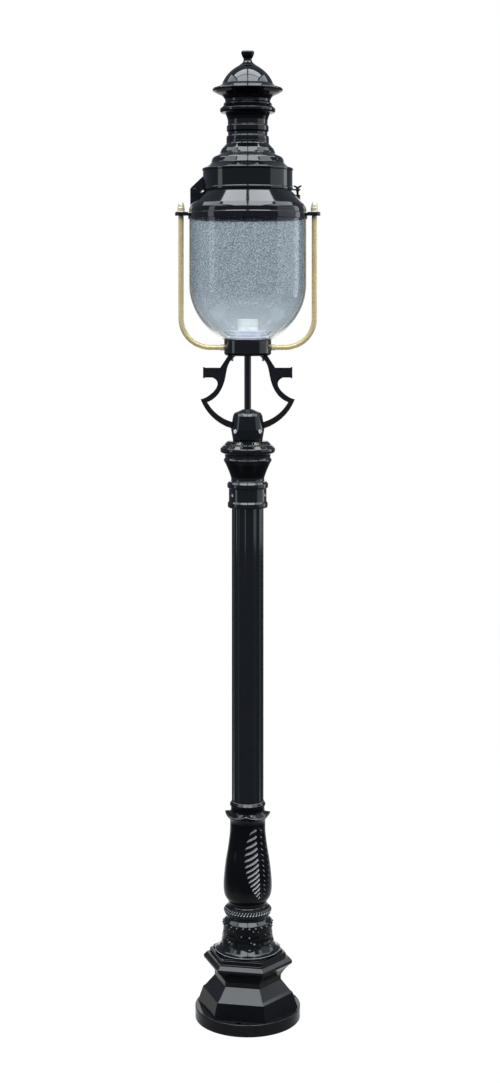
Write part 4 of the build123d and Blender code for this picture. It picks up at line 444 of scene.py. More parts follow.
# The bell's and the baluster's paint carries a painted highlight: the up-facing ridges of their leaves, beads
# and drops are painted pale grey.
RELIEF_PAINT_WITH_HIGHLIGHT = gloss_paint("relief_paint_with_highlight", gloss=0.08, dull=0.2, wash=0.15, coat_index=1.5, highlight_share=0.65)
bell_side = spaced(soften(BELL_SIDE), step=1.1)
bell = carved("bell_casting", bell_side, BELL_INSIDE, bell_leaves, BELL_FOOT, columns=512)
fit(bell, "post", "black_paint", RELIEF_PAINT_WITH_HIGHLIGHT, "pedestal_bell", even=False)


# Rope collar
# Iron ring between the bell and the baluster, painted black. Its belly is plain, and its upper slope is
# cast as a twisted rope; the up-facing side of each strand is painted pale, a painted highlight.

ROPE_FOOT = levels("rope_collar")[0]
ROPE_SIDE = [(50, 0, 1), (54.6, 3, 4), (56, 8, 3), (56, 12, 2.5), (48, 20.5, 1.5), (46, 22, 0.5)]
ROPE_INSIDE = [(33, 22), (33, 0)]
ROPE_STRANDS = 48
ROPE_DEPTH = 2.8
ROPE_LAY = 0.45
ROPE_ROUND = 1.5
ROPE_START = (8, 11)
ROPE_END = (17, 19.5)


def rope_strands(angle, radius, height):
    """Twisted strands: ridges that lean with the height, each a rounded wave round the ring."""
    phase = ROPE_STRANDS * angle - ROPE_LAY * height
    body = rise(height, *ROPE_START) * (1 - rise(height, *ROPE_END))
    return body * ROPE_DEPTH * (np.abs(np.cos(phase / 2)) ** ROPE_ROUND - 0.5)


# Dull paint with little shine of its own; the up-facing ridges of the strands are painted pale, a strong
# painted highlight.
ROPE_LOOK_WITH_HIGHLIGHT = {**PAINT, "Gloss": 0.2, "Dull": 0.4, "Painted highlight": 6.0}
ROPE_PAINT_WITH_HIGHLIGHT = finished("rope_paint_with_highlight", WEATHERING_AND_HIGHLIGHT, ROPE_LOOK_WITH_HIGHLIGHT, WAVE, Specular_IOR_Level=0.1)
rope_side = spaced(soften(ROPE_SIDE), step=0.8)
rope = carved("rope_casting", rope_side, ROPE_INSIDE, rope_strands, ROPE_FOOT, columns=768)
fit(rope, "post", "black_paint", ROPE_PAINT_WITH_HIGHLIGHT, "rope_collar", even=False)


# Baluster
# Swelling iron casting over the column's foot, black gloss paint. Two acanthus leaves lie on its sides, and
# a collar of four curled tips flares out under the ring at its top.

BALUSTER_FOOT = levels("baluster")[0]
BALUSTER_BASE = [(47.8, 0, 0.5), (47.8, 1.5, 1), (46.2, 3.5, 4), (46.2, 10, 1)]
BALUSTER_SIDE = np.array(
    [
        (10, 46.2), (24, 54.6), (38, 57.4), (54, 57.6), (74, 56.2), (103, 52.8), (146, 45.8), (175, 42.6),
        (196, 42.2),
    ]
)
SIDE_ROWS = 172
COLLAR_TIP_TURN = -94.0
COLLAR_TIPS = 4
COLLAR_HOLLOW = 1.8
COLLAR_FLARE = 2.2
COLLAR_FOLD = 1.3
COLLAR_LIP = 2.2
COLLAR_LIP_TURN = (-60, 120)
FLARE_ROWS = 15
LIP_ROWS = 9
COLLAR_TIP_RADIUS = 52.0
COLLAR_DIP_RADIUS = 47.5
COLLAR_TIP_LEVEL = 218.5
COLLAR_DIP_LEVEL = 209.5
BALUSTER_RING = [
    (41, 223.5, 1), (40.4, 227, 2), (40.2, 236, 1), (42.5, 237.5, 2), (42.5, 241.5, 2), (38.9, 247, 1),
    (38.4, 248, 0.3),
]
BALUSTER_INSIDE = [(38.3, 248), (38.3, 175), (33, 175), (33, 0)]
ACANTHUS_COUNT = 2
ACANTHUS_MIDDLE = -57.0
ACANTHUS_TOP = 194.0
ACANTHUS_FOOT = 22.0
ACANTHUS_HALF = 43.0
ACANTHUS_RIBS = 13.0
ACANTHUS_PROUD = 3.8
ACANTHUS_SUNK = 1.0
ACANTHUS_SOFT = (-0.5, 2.5)
ACANTHUS_TAPER = 0.03
SWELL_SKEW = 0.75
SWELL_FULLNESS = 0.6
RIB_SLOPE = 0.6
RIB_STEEPENING = 0.4
RIB_CURL = 0.008
RIB_CROWDING = 1.3
RIB_SCALLOP = 0.14
RIB_FIRST = 0.2
RIB_LAST = 1.4
RIB_START = (1.2, 4.5)
RIB_FADE = 150.0
ACANTHUS_MIDRIB = (1.3, 0.625)
DROP_AWAY = 11.0
DROP_PITCH = 12.0
DROP_RADIUS = 3.2


def through(points, at):
    """Smooth curve through (place, value) points: cubic pieces whose slopes follow the neighbouring
    points."""
    place, value = points.T
    slope = np.gradient(value, place)
    cell = np.clip(np.searchsorted(place, at) - 1, 0, len(place) - 2)
    span = place[cell + 1] - place[cell]
    share = (at - place[cell]) / span
    held = (1 + 2 * share) * (1 - share) ** 2 * value[cell] + share**2 * (3 - 2 * share) * value[cell + 1]
    return held + span * share * (1 - share) * ((1 - share) * slope[cell] - share * slope[cell + 1])


def acanthus(angle, radius, height):
    """Leaf relief: on one side of a midrib, ribs that slope down and out, closer together towards the
    leaf's foot; on the other the ribs' curled ends, a row of drops. The outline swells from the top and
    narrows to the foot."""
    away = nearest(angle, ACANTHUS_MIDDLE, ACANTHUS_COUNT)
    run = np.radians(np.abs(away)) * radius
    length = ACANTHUS_TOP - ACANTHUS_FOOT
    down = (ACANTHUS_TOP - height) / length
    fall = (RIB_SLOPE + RIB_STEEPENING * down) * run - RIB_CURL * run**2
    level = np.clip((ACANTHUS_TOP - height - fall) / length + RIB_FIRST, 0, RIB_LAST)
    turn = ACANTHUS_RIBS * level**RIB_CROWDING
    wave = 0.5 + 0.5 * np.cos(2 * np.pi * turn)
    swell = np.sin(np.pi * np.clip(down, 0, 1) ** SWELL_SKEW) ** SWELL_FULLNESS
    half = ACANTHUS_HALF * swell * (1 - RIB_SCALLOP + RIB_SCALLOP * wave)
    ends = rise(down, 0, ACANTHUS_TAPER) * (1 - rise(down, 1 - ACANTHUS_TAPER, 1))
    inside = rise(half - np.abs(away), *ACANTHUS_SOFT) * ends
    midrib = crease(run, *ACANTHUS_MIDRIB)
    ribs = ACANTHUS_PROUD * wave**2 * rise(run, *RIB_START) * (1 - run / RIB_FADE)
    drops = dome(np.hypot(run - DROP_AWAY, (turn - np.round(turn)) * DROP_PITCH), DROP_RADIUS)
    return inside * (midrib - ACANTHUS_SUNK + np.where(away < 0, ribs, drops))


def leaf_tip(angle):
    """Share of a collar tip at an angle: 1 on a tip, 0 half-way between two tips, with a hollow curve
    between."""
    off_tip = np.abs(nearest(angle, COLLAR_TIP_TURN, COLLAR_TIPS)) / (180 / COLLAR_TIPS)
    return (1 - off_tip) ** COLLAR_HOLLOW


def baluster_rings(columns=352):
    """Rings from the foot up: the carved side, the collar that flares out to its star-shaped rim and folds
    back over, the round ring at the top, and the plain bore."""
    angle = full_turn(columns)
    level = np.linspace(*BALUSTER_SIDE[[0, -1], 0], SIDE_ROWS)
    side = np.concatenate([soften(BALUSTER_BASE), np.stack([through(BALUSTER_SIDE, level), level], -1)[1:]])
    carving = side[:, :1] + acanthus(angle, side[:, :1], side[:, 1:])
    tip = leaf_tip(angle)
    rim = COLLAR_DIP_RADIUS + (COLLAR_TIP_RADIUS - COLLAR_DIP_RADIUS) * tip
    rim_level = COLLAR_DIP_LEVEL + (COLLAR_TIP_LEVEL - COLLAR_DIP_LEVEL) * tip
    start_radius, start_level = side[-1]
    share = np.linspace(0, 1, FLARE_ROWS)[1:, None]
    flare_radius = start_radius + (rim - start_radius) * share**COLLAR_FLARE
    flare_height = start_level + (rim_level - start_level) * share
    lip = np.radians(np.linspace(*COLLAR_LIP_TURN, LIP_ROWS))[:, None]
    lip_radius = rim + COLLAR_LIP * np.cos(lip)
    lip_height = rim_level + COLLAR_LIP * (1 + np.sin(lip))
    ring = soften(BALUSTER_RING)
    back = np.linspace(0, 1, LIP_ROWS)[1:, None]
    back_radius = lip_radius[-1] + (ring[0, 0] - lip_radius[-1]) * back
    back_height = lip_height[-1] + (ring[0, 1] - lip_height[-1]) * back**COLLAR_FOLD
    rest = np.concatenate([ring[1:], np.array(BALUSTER_INSIDE, float)])[..., None] + 0 * angle
    radius = np.concatenate([carving, flare_radius, lip_radius, back_radius, rest[:, 0]])
    height = np.concatenate([side[:, 1:] + 0 * angle, flare_height, lip_height, back_height, rest[:, 1]])
    return around(radius, angle, BALUSTER_FOOT + height)


# The ridges of its leaves, drops and collar take the relief paint's painted highlight where they face up.
baluster = skin("baluster_casting", baluster_rings(), True)
fit(baluster, "post", "black_paint", RELIEF_PAINT_WITH_HIGHLIGHT, "baluster", even=False)


# Column
# Drawn steel tube with fourteen broad shallow flutes, painted black gloss. It stands in the baluster's
# socket and carries the capital; the tie rod inside draws them together.

COLUMN_RADIUS = 38.2
COLUMN_BORE = 32.8
FLUTES = 14
FLUTE_TURN = -95.0
FLUTE_RADIUS = 17.0
FLUTE_DEPTH = 2.4
FLUTE_CENTRE = COLUMN_RADIUS - FLUTE_DEPTH + FLUTE_RADIUS
ARRIS_ROUND = 0.35
END_BEVEL = 1.0
TUBE_ROWS = 12


def fluted_column(columns=560):
    """Fluted tube: at each angle the nearer of the round tube and the flute's circle, blended where they
    meet by a soft minimum; straight from end to end."""
    angle = full_turn(columns)
    away = np.radians(nearest(angle, FLUTE_TURN + 180 / FLUTES, FLUTES))
    flute = FLUTE_CENTRE * np.cos(away) - np.sqrt(FLUTE_RADIUS**2 - (FLUTE_CENTRE * np.sin(away)) ** 2)
    gap = (flute - COLUMN_RADIUS) / ARRIS_ROUND
    outer = COLUMN_RADIUS - ARRIS_ROUND * np.log1p(np.exp(-gap))
    low, high = levels("column_tube")
    height = [low, *np.linspace(low + END_BEVEL, high - END_BEVEL, TUBE_ROWS), high, high, low]
    bevelled, bore = outer - END_BEVEL, COLUMN_BORE + 0 * angle
    radius = np.stack([bevelled, *[outer] * TUBE_ROWS, bevelled, bore, bore])
    return around(radius, angle, np.array(height)[:, None])


FINE_WAVE = 0.00008
GLOSS_PAINT = gloss_paint(
    "gloss_black_paint", gloss=0.07, dull=0.18, wash=-0.35, coat_index=1.64, wave=FINE_WAVE
)
column = skin("fluted_column", fluted_column(), True)
fit(column, "post", "black_paint", GLOSS_PAINT, "column_tube", even=False)


# Capital
# Turned iron casting on the column's top, black gloss paint, locked by three grub screws: a ring, a plain
# collar, a band, a vase and a heavy round moulding, with a spigot inside for the post top.

CAPITAL_FOOT = levels("capital")[0]
CAPITAL_SECTION = [
    (38.3, 0, 0.4), (44.6, 0, 1), (48, 0.5, 4), (48.2, 11.5, 2), (45.3, 16, 1.2), (45.3, 46.5, 1),
    (49, 47.8, 3), (49.2, 57.5, 2), (45.4, 62.6, 1.5), (40, 64, 1.5), (40, 72, 20), (45.4, 87, 30),
    (52.4, 103, 30), (57.4, 112, 3), (57.6, 115.5, 1.2), (54.4, 120, 1.2), (55.4, 127.5, 1.5), (60, 130, 2),
    (65.8, 131, 7), (65.8, 142, 5), (58, 149.5, 3), (55.4, 150.2, 1), (55.2, 152.5, 1.5), (48.5, 159, 2.5),
    (44, 160, 0.8), (31.9, 160, 0.5), (31.9, 189, 0.5), (26, 189, 0.5), (26, 160, 0.5), (8.05, 160, 0.3),
    (8.05, 142, 0.3), (33, 142, 0.5), (33, 51, 0.5), (38.3, 51, 0.5),
]
GRUB_TURN = -144.0
GRUB_LEVEL = 31.5
GRUB_HOLE = 4.05
GRUB_CUT = (36, 60)

capital = casting("capital_casting", CAPITAL_SECTION, CAPITAL_FOOT, columns=192)
for grub in np.radians(GRUB_TURN + 120 * np.arange(3)):
    outward = (np.cos(grub), np.sin(grub), 0)
    hole = bar("grub_hole", GRUB_HOLE, *GRUB_CUT, (0, 0, CAPITAL_FOOT + GRUB_LEVEL), outward, columns=40)
    join(capital, hole, "DIFFERENCE")
fit(capital, "post", "black_paint", GLOSS_PAINT, "capital")


# Post top
# Hollow iron dome over the capital's spigot, black gloss paint, held by four slotted screws at its belt.
# The stem is screwed through its crown and the brackets' feet are drawn up against its sides.

DOME_SECTION = [
    (32.1, 0, 0.5), (35.5, 0, 1), (40.2, 27, 1.4), (35.4, 59, 3), (31.5, 66.5, 9), (12, 74.5, 6),
    (8.3, 75, 0.4), (8.3, 53, 0.5), (24, 53, 1), (32.1, 41, 1),
]

dome_casting = casting("dome_casting", DOME_SECTION, levels("post_top_dome")[0], columns=144)
fit(dome_casting, "post", "black_paint", GLOSS_PAINT, "post_top_dome")


# Stem
# Thin steel pipe from the post top to the gallery, painted black. It is nutted at both ends, and takes the
# cable up to the lampholder.

STEM_LOW, STEM_HIGH = levels("stem_tube")
STEM_SECTION = [(8.25, STEM_LOW, 0.6), (8.25, STEM_HIGH, 0.6), (5, STEM_HIGH, 0.6), (5, STEM_LOW, 0.6)]

stem = casting("stem_pipe", STEM_SECTION, columns=64)
fit(stem, "post", "black_paint", GLOSS_PAINT, "stem_tube")


# Scroll brackets
# Two flat iron castings, painted black, from the post top's sides up to the gallery, each with a hook and a
# short rest for a ladder; their long edges are rounded by the casting and the paint.

BRACKET_EDGE = 1.6


def rounded_copy(node, name, edge, segments=3):
    """Copy of a plain node with its doubled corners merged, its flats made whole and its edges rounded."""
    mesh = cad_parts[node].data.copy()
    mesh.name = name
    work = bmesh.new()
    work.from_mesh(mesh)
    bmesh.ops.remove_doubles(work, verts=work.verts, dist=1e-6)
    bmesh.ops.dissolve_limit(work, angle_limit=0.002, verts=work.verts, edges=work.edges)
    work.to_mesh(mesh)
    work.free()
    piece = stand(name, mesh)
    rounding = piece.modifiers.new("rounding", "BEVEL")
    rounding.width = edge * MM
    rounding.segments = segments
    rounding.limit_method = "ANGLE"
    rounding.angle_limit = SMOOTH_BELOW
    return piece


for node in ("left_frog_bracket", "right_frog_bracket"):
    bracket = rounded_copy(node, node.replace("frog", "scroll"), BRACKET_EDGE)
    fit(bracket, "post", "black_paint", GLOSS_PAINT, node)


# Gallery
# Black iron cup under the bowl: the stem is nutted through its floor, the arms go into its wall, and the lamp
# plate lies on a ledge inside.

GALLERY_FOOT = levels("gallery_cup")[0]
GALLERY_SECTION = [
    (8.3, 0, 0.4), (56.6, 0, 8), (56.6, 37.5, 1.2), (51.5, 37.5, 0.6), (51.5, 30.5, 0.6), (42, 30.5, 0.6),
    (42, 6, 2), (8.3, 6, 0.4),
]

gallery = casting("gallery_casting", GALLERY_SECTION, GALLERY_FOOT, columns=160)
fit(gallery, "post", "black_paint", GLOSS_PAINT, "gallery_cup")


# Brass arms
# Two half-inch brass rods that come out of the gallery, bend up and hold the canopy by its ears.
# Satin brass, drawn lengthwise, browner where hands and weather have been at it.

ARM_RADIUS = 6.35
ARM_REACH = 159.0
ARM_BEND = 70.0
ARM_INNER_END = 33.0
ARM_OUT_OF_GALLERY = 60.0
ARM_LEVEL = GALLERY_FOOT + 19.5
BEND_STEPS = 33
EAR_THICKNESS = 9.0
STUD_RADIUS = 4.0
ROD_BEVEL = 0.8
BRASS = (0.96, 0.76, 0.39, 1)
BRASS_TARNISH = (0.4, 0.29, 0.13, 1)
METAL_GRAIN = 0.00001


def tarnish():
    """Tarnish on a bare metal: a broad uneven film, fine specks, and lengthwise drawing marks."""
    tree, given, result = effect(
        "Tarnish", ("Metal", "Film colour"), ("Film", "Gloss"), ("Colour", "Roughness", "Height")
    )
    place = add(tree, "ShaderNodeTexCoord").outputs["Object"]
    film = remap(tree, noise(tree, place, 26, 6, 0.7), 0.36, 0.78)
    specks = remap(tree, noise(tree, place, 320, 3, 0.6), 0.55, 0.75)
    worn = math(tree, "ADD", film, math(tree, "MULTIPLY", specks, 0.5))
    worn = math(tree, "MINIMUM", math(tree, "MULTIPLY", worn, given["Film"]), 1.0)
    colour = mix_colour(tree, worn, given["Metal"], given["Film colour"])
    rough = math(tree, "ADD", given["Gloss"], math(tree, "MULTIPLY", worn, 0.22))
    drawn = add(tree, "ShaderNodeMapping", {"Vector": place, "Scale": (1, 1, 0.04)}).outputs["Vector"]
    waves = math(tree, "MULTIPLY", noise(tree, place, 60, 2), 0.6)
    height = math(tree, "ADD", noise(tree, drawn, 900, 2), waves)
    feed(tree, result, {"Colour": colour, "Roughness": rough, "Height": height})
    return tree


TARNISH = tarnish()
SATIN = {"Metal": BRASS, "Film colour": BRASS_TARNISH, "Film": 0.25, "Gloss": 0.26}
SATIN_BRASS = finished("satin_brass", TARNISH, SATIN, METAL_GRAIN, Metallic=0.4)


def arm_rod(side, columns=40):
    """Round rod along a path in the XZ plane: a level run, a quarter-circle bend and a rise to the ear,
    drawn in to a stud above it. Each ring lies square to the path."""
    ear = levels("arm_washers")[0] - EAR_THICKNESS
    stud = levels("right_arm")[1]
    bend = np.radians(np.linspace(-90, 0, BEND_STEPS))
    run = [ARM_INNER_END, ARM_INNER_END, ARM_OUT_OF_GALLERY]
    climb = np.array([ear - ROD_BEVEL, ear, ear, stud - ROD_BEVEL, stud, stud])
    x = np.concatenate([run, ARM_REACH - ARM_BEND + ARM_BEND * np.cos(bend), ARM_REACH + 0 * climb])
    z = np.concatenate([[ARM_LEVEL] * 3, ARM_LEVEL + ARM_BEND + ARM_BEND * np.sin(bend), climb])
    heading = np.concatenate([[0, 0, 0], bend + np.pi / 2, np.pi / 2 + 0 * climb])
    ends = [ARM_RADIUS, ARM_RADIUS - ROD_BEVEL, STUD_RADIUS, STUD_RADIUS, STUD_RADIUS - ROD_BEVEL, 0]
    thick = np.concatenate([[0, ARM_RADIUS, ARM_RADIUS], ARM_RADIUS + 0 * bend, ends])
    x, z, heading, thick = (values[:, None] for values in (x, z, heading, thick))
    angle = full_turn(columns)
    lift = thick * np.cos(angle)
    across = side * (x - lift * np.sin(heading))
    return np.stack([across, thick * np.sin(angle), z + lift * np.cos(heading)], -1)


for side, node in ((-1, "left_arm"), (1, "right_arm")):
    arm = skin(node.replace("arm", "brass_arm"), arm_rod(side))
    fit(arm, "post", "brass", SATIN_BRASS, node)


# Brass fittings
# Lock collars against the gallery, washers and acorn nuts on the ears, and the nuts inside the gallery:
# bar-turned brass, a little paler than the arms.

BRIGHT = {"Metal": (0.94, 0.84, 0.58, 1), "Film colour": BRASS_TARNISH, "Film": 0.2, "Gloss": 0.25}
BRIGHT_BRASS = finished("bright_brass", TARNISH, BRIGHT, METAL_GRAIN, Metallic=0.4)
ACORN_FOOT, ACORN_TOP = levels("acorn_nuts")
ACORN_TALL = ACORN_TOP - ACORN_FOOT
ACORN_BORE = STUD_RADIUS + 0.1
ACORN_SECTION = [
    (ACORN_BORE, 0, 0.2), (8.6, 0, 0.6), (8.6, 9, 1.2), (7.8, 10, 0.6), (7.6, ACORN_TALL, 99),
    (0, ACORN_TALL, 0), (0, 12.5, 0), (ACORN_BORE, 12.5, 0.2),
]
FITTING_EDGE = 0.6


def coat(material, *nodes):
    """Give plain nodes a material."""
    for node in nodes:
        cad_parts[node].data.materials.clear()
        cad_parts[node].data.materials.append(material)


acorns = []
for side in (-1, 1):
    acorn = turned("acorn_nuts_turned", soften(ACORN_SECTION), ACORN_FOOT, columns=64, closed=True)
    acorn.data.transform(Matrix.Translation((side * ARM_REACH * MM, 0, 0)))
    acorns.append(acorn)
fit(join(*acorns, "UNION"), "post", "brass", BRIGHT_BRASS, "acorn_nuts")
for node in ("arm_collars", "arm_washers"):
    fitting = rounded_copy(node, node + "_turned", FITTING_EDGE, segments=2)
    fit(fitting, "post", "brass", BRIGHT_BRASS, node)
coat(BRIGHT_BRASS, "arm_nuts", "centre_contact")


# Steel fixings
# Zinc-plated screws, nuts, washers and rods that hold the post and the head together. The dome's slotted
# screws and the capital's grub screws show; the rest lie inside.

PLATING = {"Metal": (0.8, 0.81, 0.82, 1), "Film colour": (0.5, 0.49, 0.46, 1), "Film": 0.25, "Gloss": 0.4}
ZINC = finished("zinc_plate", TARNISH, PLATING, METAL_GRAIN, Metallic=0.5)

coat(ZINC, "tie_rod", "tie_washers", "tie_nuts", "stem_nuts", "bracket_screws", "lamp_plate", "plate_screws")
coat(ZINC, "holder_nipple", "nipple_nut", "finial_rod", "clamp_bar", "rod_nut")
dome_screws = rounded_copy("dome_screws", "dome_slotted_screws", edge=0.5, segments=2)
fit(dome_screws, "post", "plated_steel", ZINC, "dome_screws")
grub_screws = rounded_copy("capital_grub_screws", "capital_socket_screws", edge=0.4, segments=2)
fit(grub_screws, "post", "plated_steel", ZINC, "capital_grub_screws")


# Lampholder
# White glazed screw lampholder in two parts, a body on the lamp plate and a ring screwed on it, with a rolled
# metal screw shell inside.

HOLDER_FOOT = levels("lampholder_body")[0]
HOLDER_SECTION = [
    (5.05, 0, 0.3), (25, 0, 1), (25, 37, 0.8), (24, 38.5, 0.5), (14.35, 38.5, 0.5), (14.35, 20.5, 0.5),
    (3.5, 20.5, 0.5), (3.5, 11, 0.3), (5.05, 11, 0.3),
]
HOLDER_RING_SECTION = [(14.35, 38.5, 0.4), (25.5, 38.5, 0.8), (25.5, 54.5, 1.4), (14.35, 54.5, 1)]
SHELL_RADIUS = 13.7
SHELL_WALL = 0.5
SHELL_THREAD = 0.55
SHELL_PITCH = 3.63
SHELL_RUNOUT = 2.0
SHELL_FLANGE = 3.0
SHELL_FLANGE_BORE = 11.3
SHELL_FLANGE_RADIUS = 14.0
GLAZE = {"Colour": (0.92, 0.9, 0.86, 1), "Dust": 0.1, "Gloss": 0.14, "Dull": 0.4, "Peel": 0.3}
WHITE_GLAZE = finished("white_glaze", WEATHERING_AND_HIGHLIGHT, GLAZE, depth=0.0002, Subsurface_Weight=0.05)


def screw_shell(columns=96, rows=60):
    """Rolled screw shell: the wall's radius follows a sine of the angle less the height in pitches."""
    low, high = levels("socket_shell")
    angle = full_turn(columns)
    level = np.linspace(low + SHELL_FLANGE, high, rows)[:, None]
    thread = SHELL_THREAD * np.sin(angle - 2 * np.pi * level / SHELL_PITCH)
    outer = SHELL_RADIUS + thread * rise(high - level, 0, SHELL_RUNOUT)
    flange = np.array([SHELL_FLANGE_BORE, SHELL_FLANGE_BORE, SHELL_FLANGE_RADIUS])[:, None] + 0 * angle
    flange_level = np.array([low + SHELL_FLANGE, low, low])[:, None]
    radius = np.concatenate([outer, outer[::-1] - SHELL_WALL, flange])
    return around(radius, angle, np.concatenate([level, level[::-1], flange_level]))


holder = casting("lampholder_porcelain", HOLDER_SECTION, HOLDER_FOOT, columns=96)
fit(holder, "post", "white_holder", WHITE_GLAZE, "lampholder_body")
holder_ring = casting("lampholder_screw_ring", HOLDER_RING_SECTION, HOLDER_FOOT, columns=96)
fit(holder_ring, "post", "white_holder", WHITE_GLAZE, "lampholder_ring")
shell = skin("rolled_screw_shell", screw_shell(), True)
fit(shell, "post", "plated_steel", ZINC, "socket_shell", even=False)


# Seal ring
# Stepped ring of pale milky rubber round the lampholder, moulded in one piece. It lies on the gallery and
# centres the bowl's neck.

SEAL_SECTION = [
    (25.1, 0, 0.5), (51.4, 0, 0.6), (51.4, 13.5, 2), (47.4, 13.5, 1), (47.4, 20.5, 2), (43.4, 20.5, 1),
    (43.4, 27.5, 2.4), (25.1, 27.5, 1),
]
MILKY = {"Colour": (0.6, 0.61, 0.67, 1), "Dust": 0.15, "Gloss": 0.3, "Dull": 0.5, "Peel": 0.3}
MILKY_DEPTH = {"Subsurface_Weight": 0.35, "Subsurface_Scale": 0.012}
PALE_SEAL = finished("milky_seal", WEATHERING_AND_HIGHLIGHT, MILKY, depth=0.0003, **MILKY_DEPTH)

seal = casting("seal_moulding", SEAL_SECTION, levels("seal_ring")[0], columns=128)
fit(seal, "post", "pale_seal", PALE_SEAL, "seal_ring")


# Gaskets and grommet
# Black rubber rings, moulded and pressed in place: under the bowl, on its rim and under the lid, and the
# cable's bush in the pedestal's web.

RUBBER = {"Colour": (0.02, 0.02, 0.021, 1), "Dust": 0.3, "Gloss": 0.55, "Dull": 0.75, "Peel": 0.8}
BLACK_RUBBER = finished("black_rubber", WEATHERING_AND_HIGHLIGHT, RUBBER, depth=0.0003)

coat(BLACK_RUBBER, "cable_grommet", "bowl_gasket", "rim_gasket", "lid_gasket")


# Glass bowl
# Blown bell-jar bowl of grey-blue seeded glass, 4 mm thick: a straight wall, a round lower end and a flat
# foot with the neck hole. Tiny seeds and the blowing's slow waves speckle it.

BOWL_FOOT = levels("glass_bowl")[0]
BOWL_RADIUS = 140.0
BOWL_WALL = 4.0
BOWL_SPRING = 132.0
BOWL_DEPTH = 146.0
OUTER_TURN = np.radians(64.7)
INNER_TURN = np.radians(63.4)
BOWL_RIM = [(140, 290, 0), (140, 295, 1.8), (136, 295, 1.8), (136, 290, 0)]
BOWL_NECK = [(60.8, 5, 0), (52.7, 5, 1.6), (52.7, 0, 1.6), (59.9, 0, 0)]
NEAR_TINT = (0.9, 0.925, 0.94, 1)
FAR_TINT = (0.47, 0.535, 0.58, 1)
SEED_TINT = (0.3, 0.345, 0.39, 1)
SHADOW_TINT = (0.97, 0.98, 0.98, 1)
NEAR_CROSSINGS = 1.5
SEED_LOW = 1.67
SEED_FULL = 1.73


def quarter_oval(wall, start, end, steps=40):
    """Part of the oval of the bowl's round end, drawn in by a wall: its radius follows the cosine of the
    angle below the spring line, and its depth the sine."""
    turn = np.linspace(start, end, steps)
    height = BOWL_SPRING - (BOWL_DEPTH - wall) * np.sin(turn)
    return np.stack([(BOWL_RADIUS - wall) * np.cos(turn), height], -1)


def bowl_section():
    """Section of the bowl: the oval and the straight wall outside, then the same drawn in by the wall's
    thickness on the way back down, and the foot round the neck hole."""
    outside = quarter_oval(0, OUTER_TURN, 0)
    inside = quarter_oval(BOWL_WALL, 0, INNER_TURN)
    return np.concatenate([outside, soften(BOWL_RIM), inside, soften(BOWL_NECK)])


def seeded_glass():
    """Clear tinted glass: seeds darken and dimple it, slow waves bend what is seen through it, the far wall
    takes most of the tint, and the shadow is only a tint."""
    material, tree, shader = surface("seeded_glass", Transmission_Weight=1.0, IOR=1.46, Roughness=0.02)
    place = add(tree, "ShaderNodeTexCoord").outputs["Object"]
    level = add(tree, "ShaderNodeSeparateXYZ", {0: place}).outputs["Z"]
    seeds = remap(tree, noise(tree, place, 360, 1, 0.5), 0.52, 0.59)
    # The seeds thin out to none below the seed line, so the bowl is clearer and lighter towards its foot.
    seeds = math(tree, "MULTIPLY", seeds, remap(tree, level, SEED_LOW, SEED_FULL))
    path = add(tree, "ShaderNodeLightPath").outputs
    far_wall = math(tree, "GREATER_THAN", path["Transmission Depth"], NEAR_CROSSINGS)
    colour = mix_colour(tree, seeds, mix_colour(tree, far_wall, NEAR_TINT, FAR_TINT), SEED_TINT)
    height = math(tree, "ADD", math(tree, "MULTIPLY", seeds, 0.12), noise(tree, place, 18, 1))
    dimples = add(tree, "ShaderNodeBump", {"Height": height, "Strength": 1.0, "Distance": 0.0002})
    feed(tree, shader, {"Base Color": colour, "Normal": dimples.outputs["Normal"]})
    clear = add(tree, "ShaderNodeBsdfTransparent", {"Color": SHADOW_TINT})
    sockets = {0: path["Is Shadow Ray"], 1: shader.outputs[0], 2: clear.outputs[0]}
    both = add(tree, "ShaderNodeMixShader", sockets)
    feed(tree, tree.nodes["Material Output"], {"Surface": both.outputs[0]})
    return material


bowl = turned("blown_glass_bowl", bowl_section(), BOWL_FOOT, columns=192, closed=True)
fit(bowl, "post", "clear_glass", seeded_glass(), "glass_bowl")


# Canopy
# Iron casting over the bowl, black gloss paint: a brim with an ear for each arm, a conical skirt, a lug for
# the lid's hinge on the left and a boss for the thumb screw on the right.

CANOPY_FOOT = levels("canopy")[0]
CANOPY_SECTION = [
    (141, 0, 0.6), (142.9, 0, 0.8), (142.9, 13.5, 1.2), (141.3, 15, 0.8), (140.4, 26, 18), (134.8, 36, 5),
    (108.5, 64, 2), (106, 65, 1.5), (96, 65, 0.8), (96, 59, 0.8), (104.9, 59, 1), (131, 24, 1),
    (131, 12, 0.5), (141, 12, 0.5),
]
EAR_RADIUS = 14.4
EAR_ROOT = 141.5
EAR_LOW = CANOPY_FOOT + 8
EAR_HIGH = EAR_LOW + EAR_THICKNESS
STUD_HOLE = 4.05
STUD_CUT = (EAR_LOW - 5, EAR_HIGH + 5)
LID_LEVEL = CANOPY_FOOT + 68
HINGE_REACH = 126.0
HINGE_EYE = 11.0
HINGE_HOLE = 3.05
HINGE_AXIS = (-HINGE_REACH, 0, LID_LEVEL), (0, 1, 0)
PIN_CUT = (-20, 20)
TONGUE_HALF = 6.0
TONGUE_FOOT = [
    (-HINGE_REACH - HINGE_EYE, CANOPY_FOOT + 24), (-HINGE_REACH + HINGE_EYE, CANOPY_FOOT + 45),
    (-107, CANOPY_FOOT + 61), (-107, CANOPY_FOOT + 63),
]
LATCH_REACH = 119.0
LATCH_PLACE = (LATCH_REACH, 0, 0)
LATCH_BOSS = 6.5
LATCH_BOSS_ENDS = (CANOPY_FOOT + 44, LID_LEVEL - 10)
LATCH_HOLE = 4.0
LATCH_CUT = (LID_LEVEL - 18, LID_LEVEL)


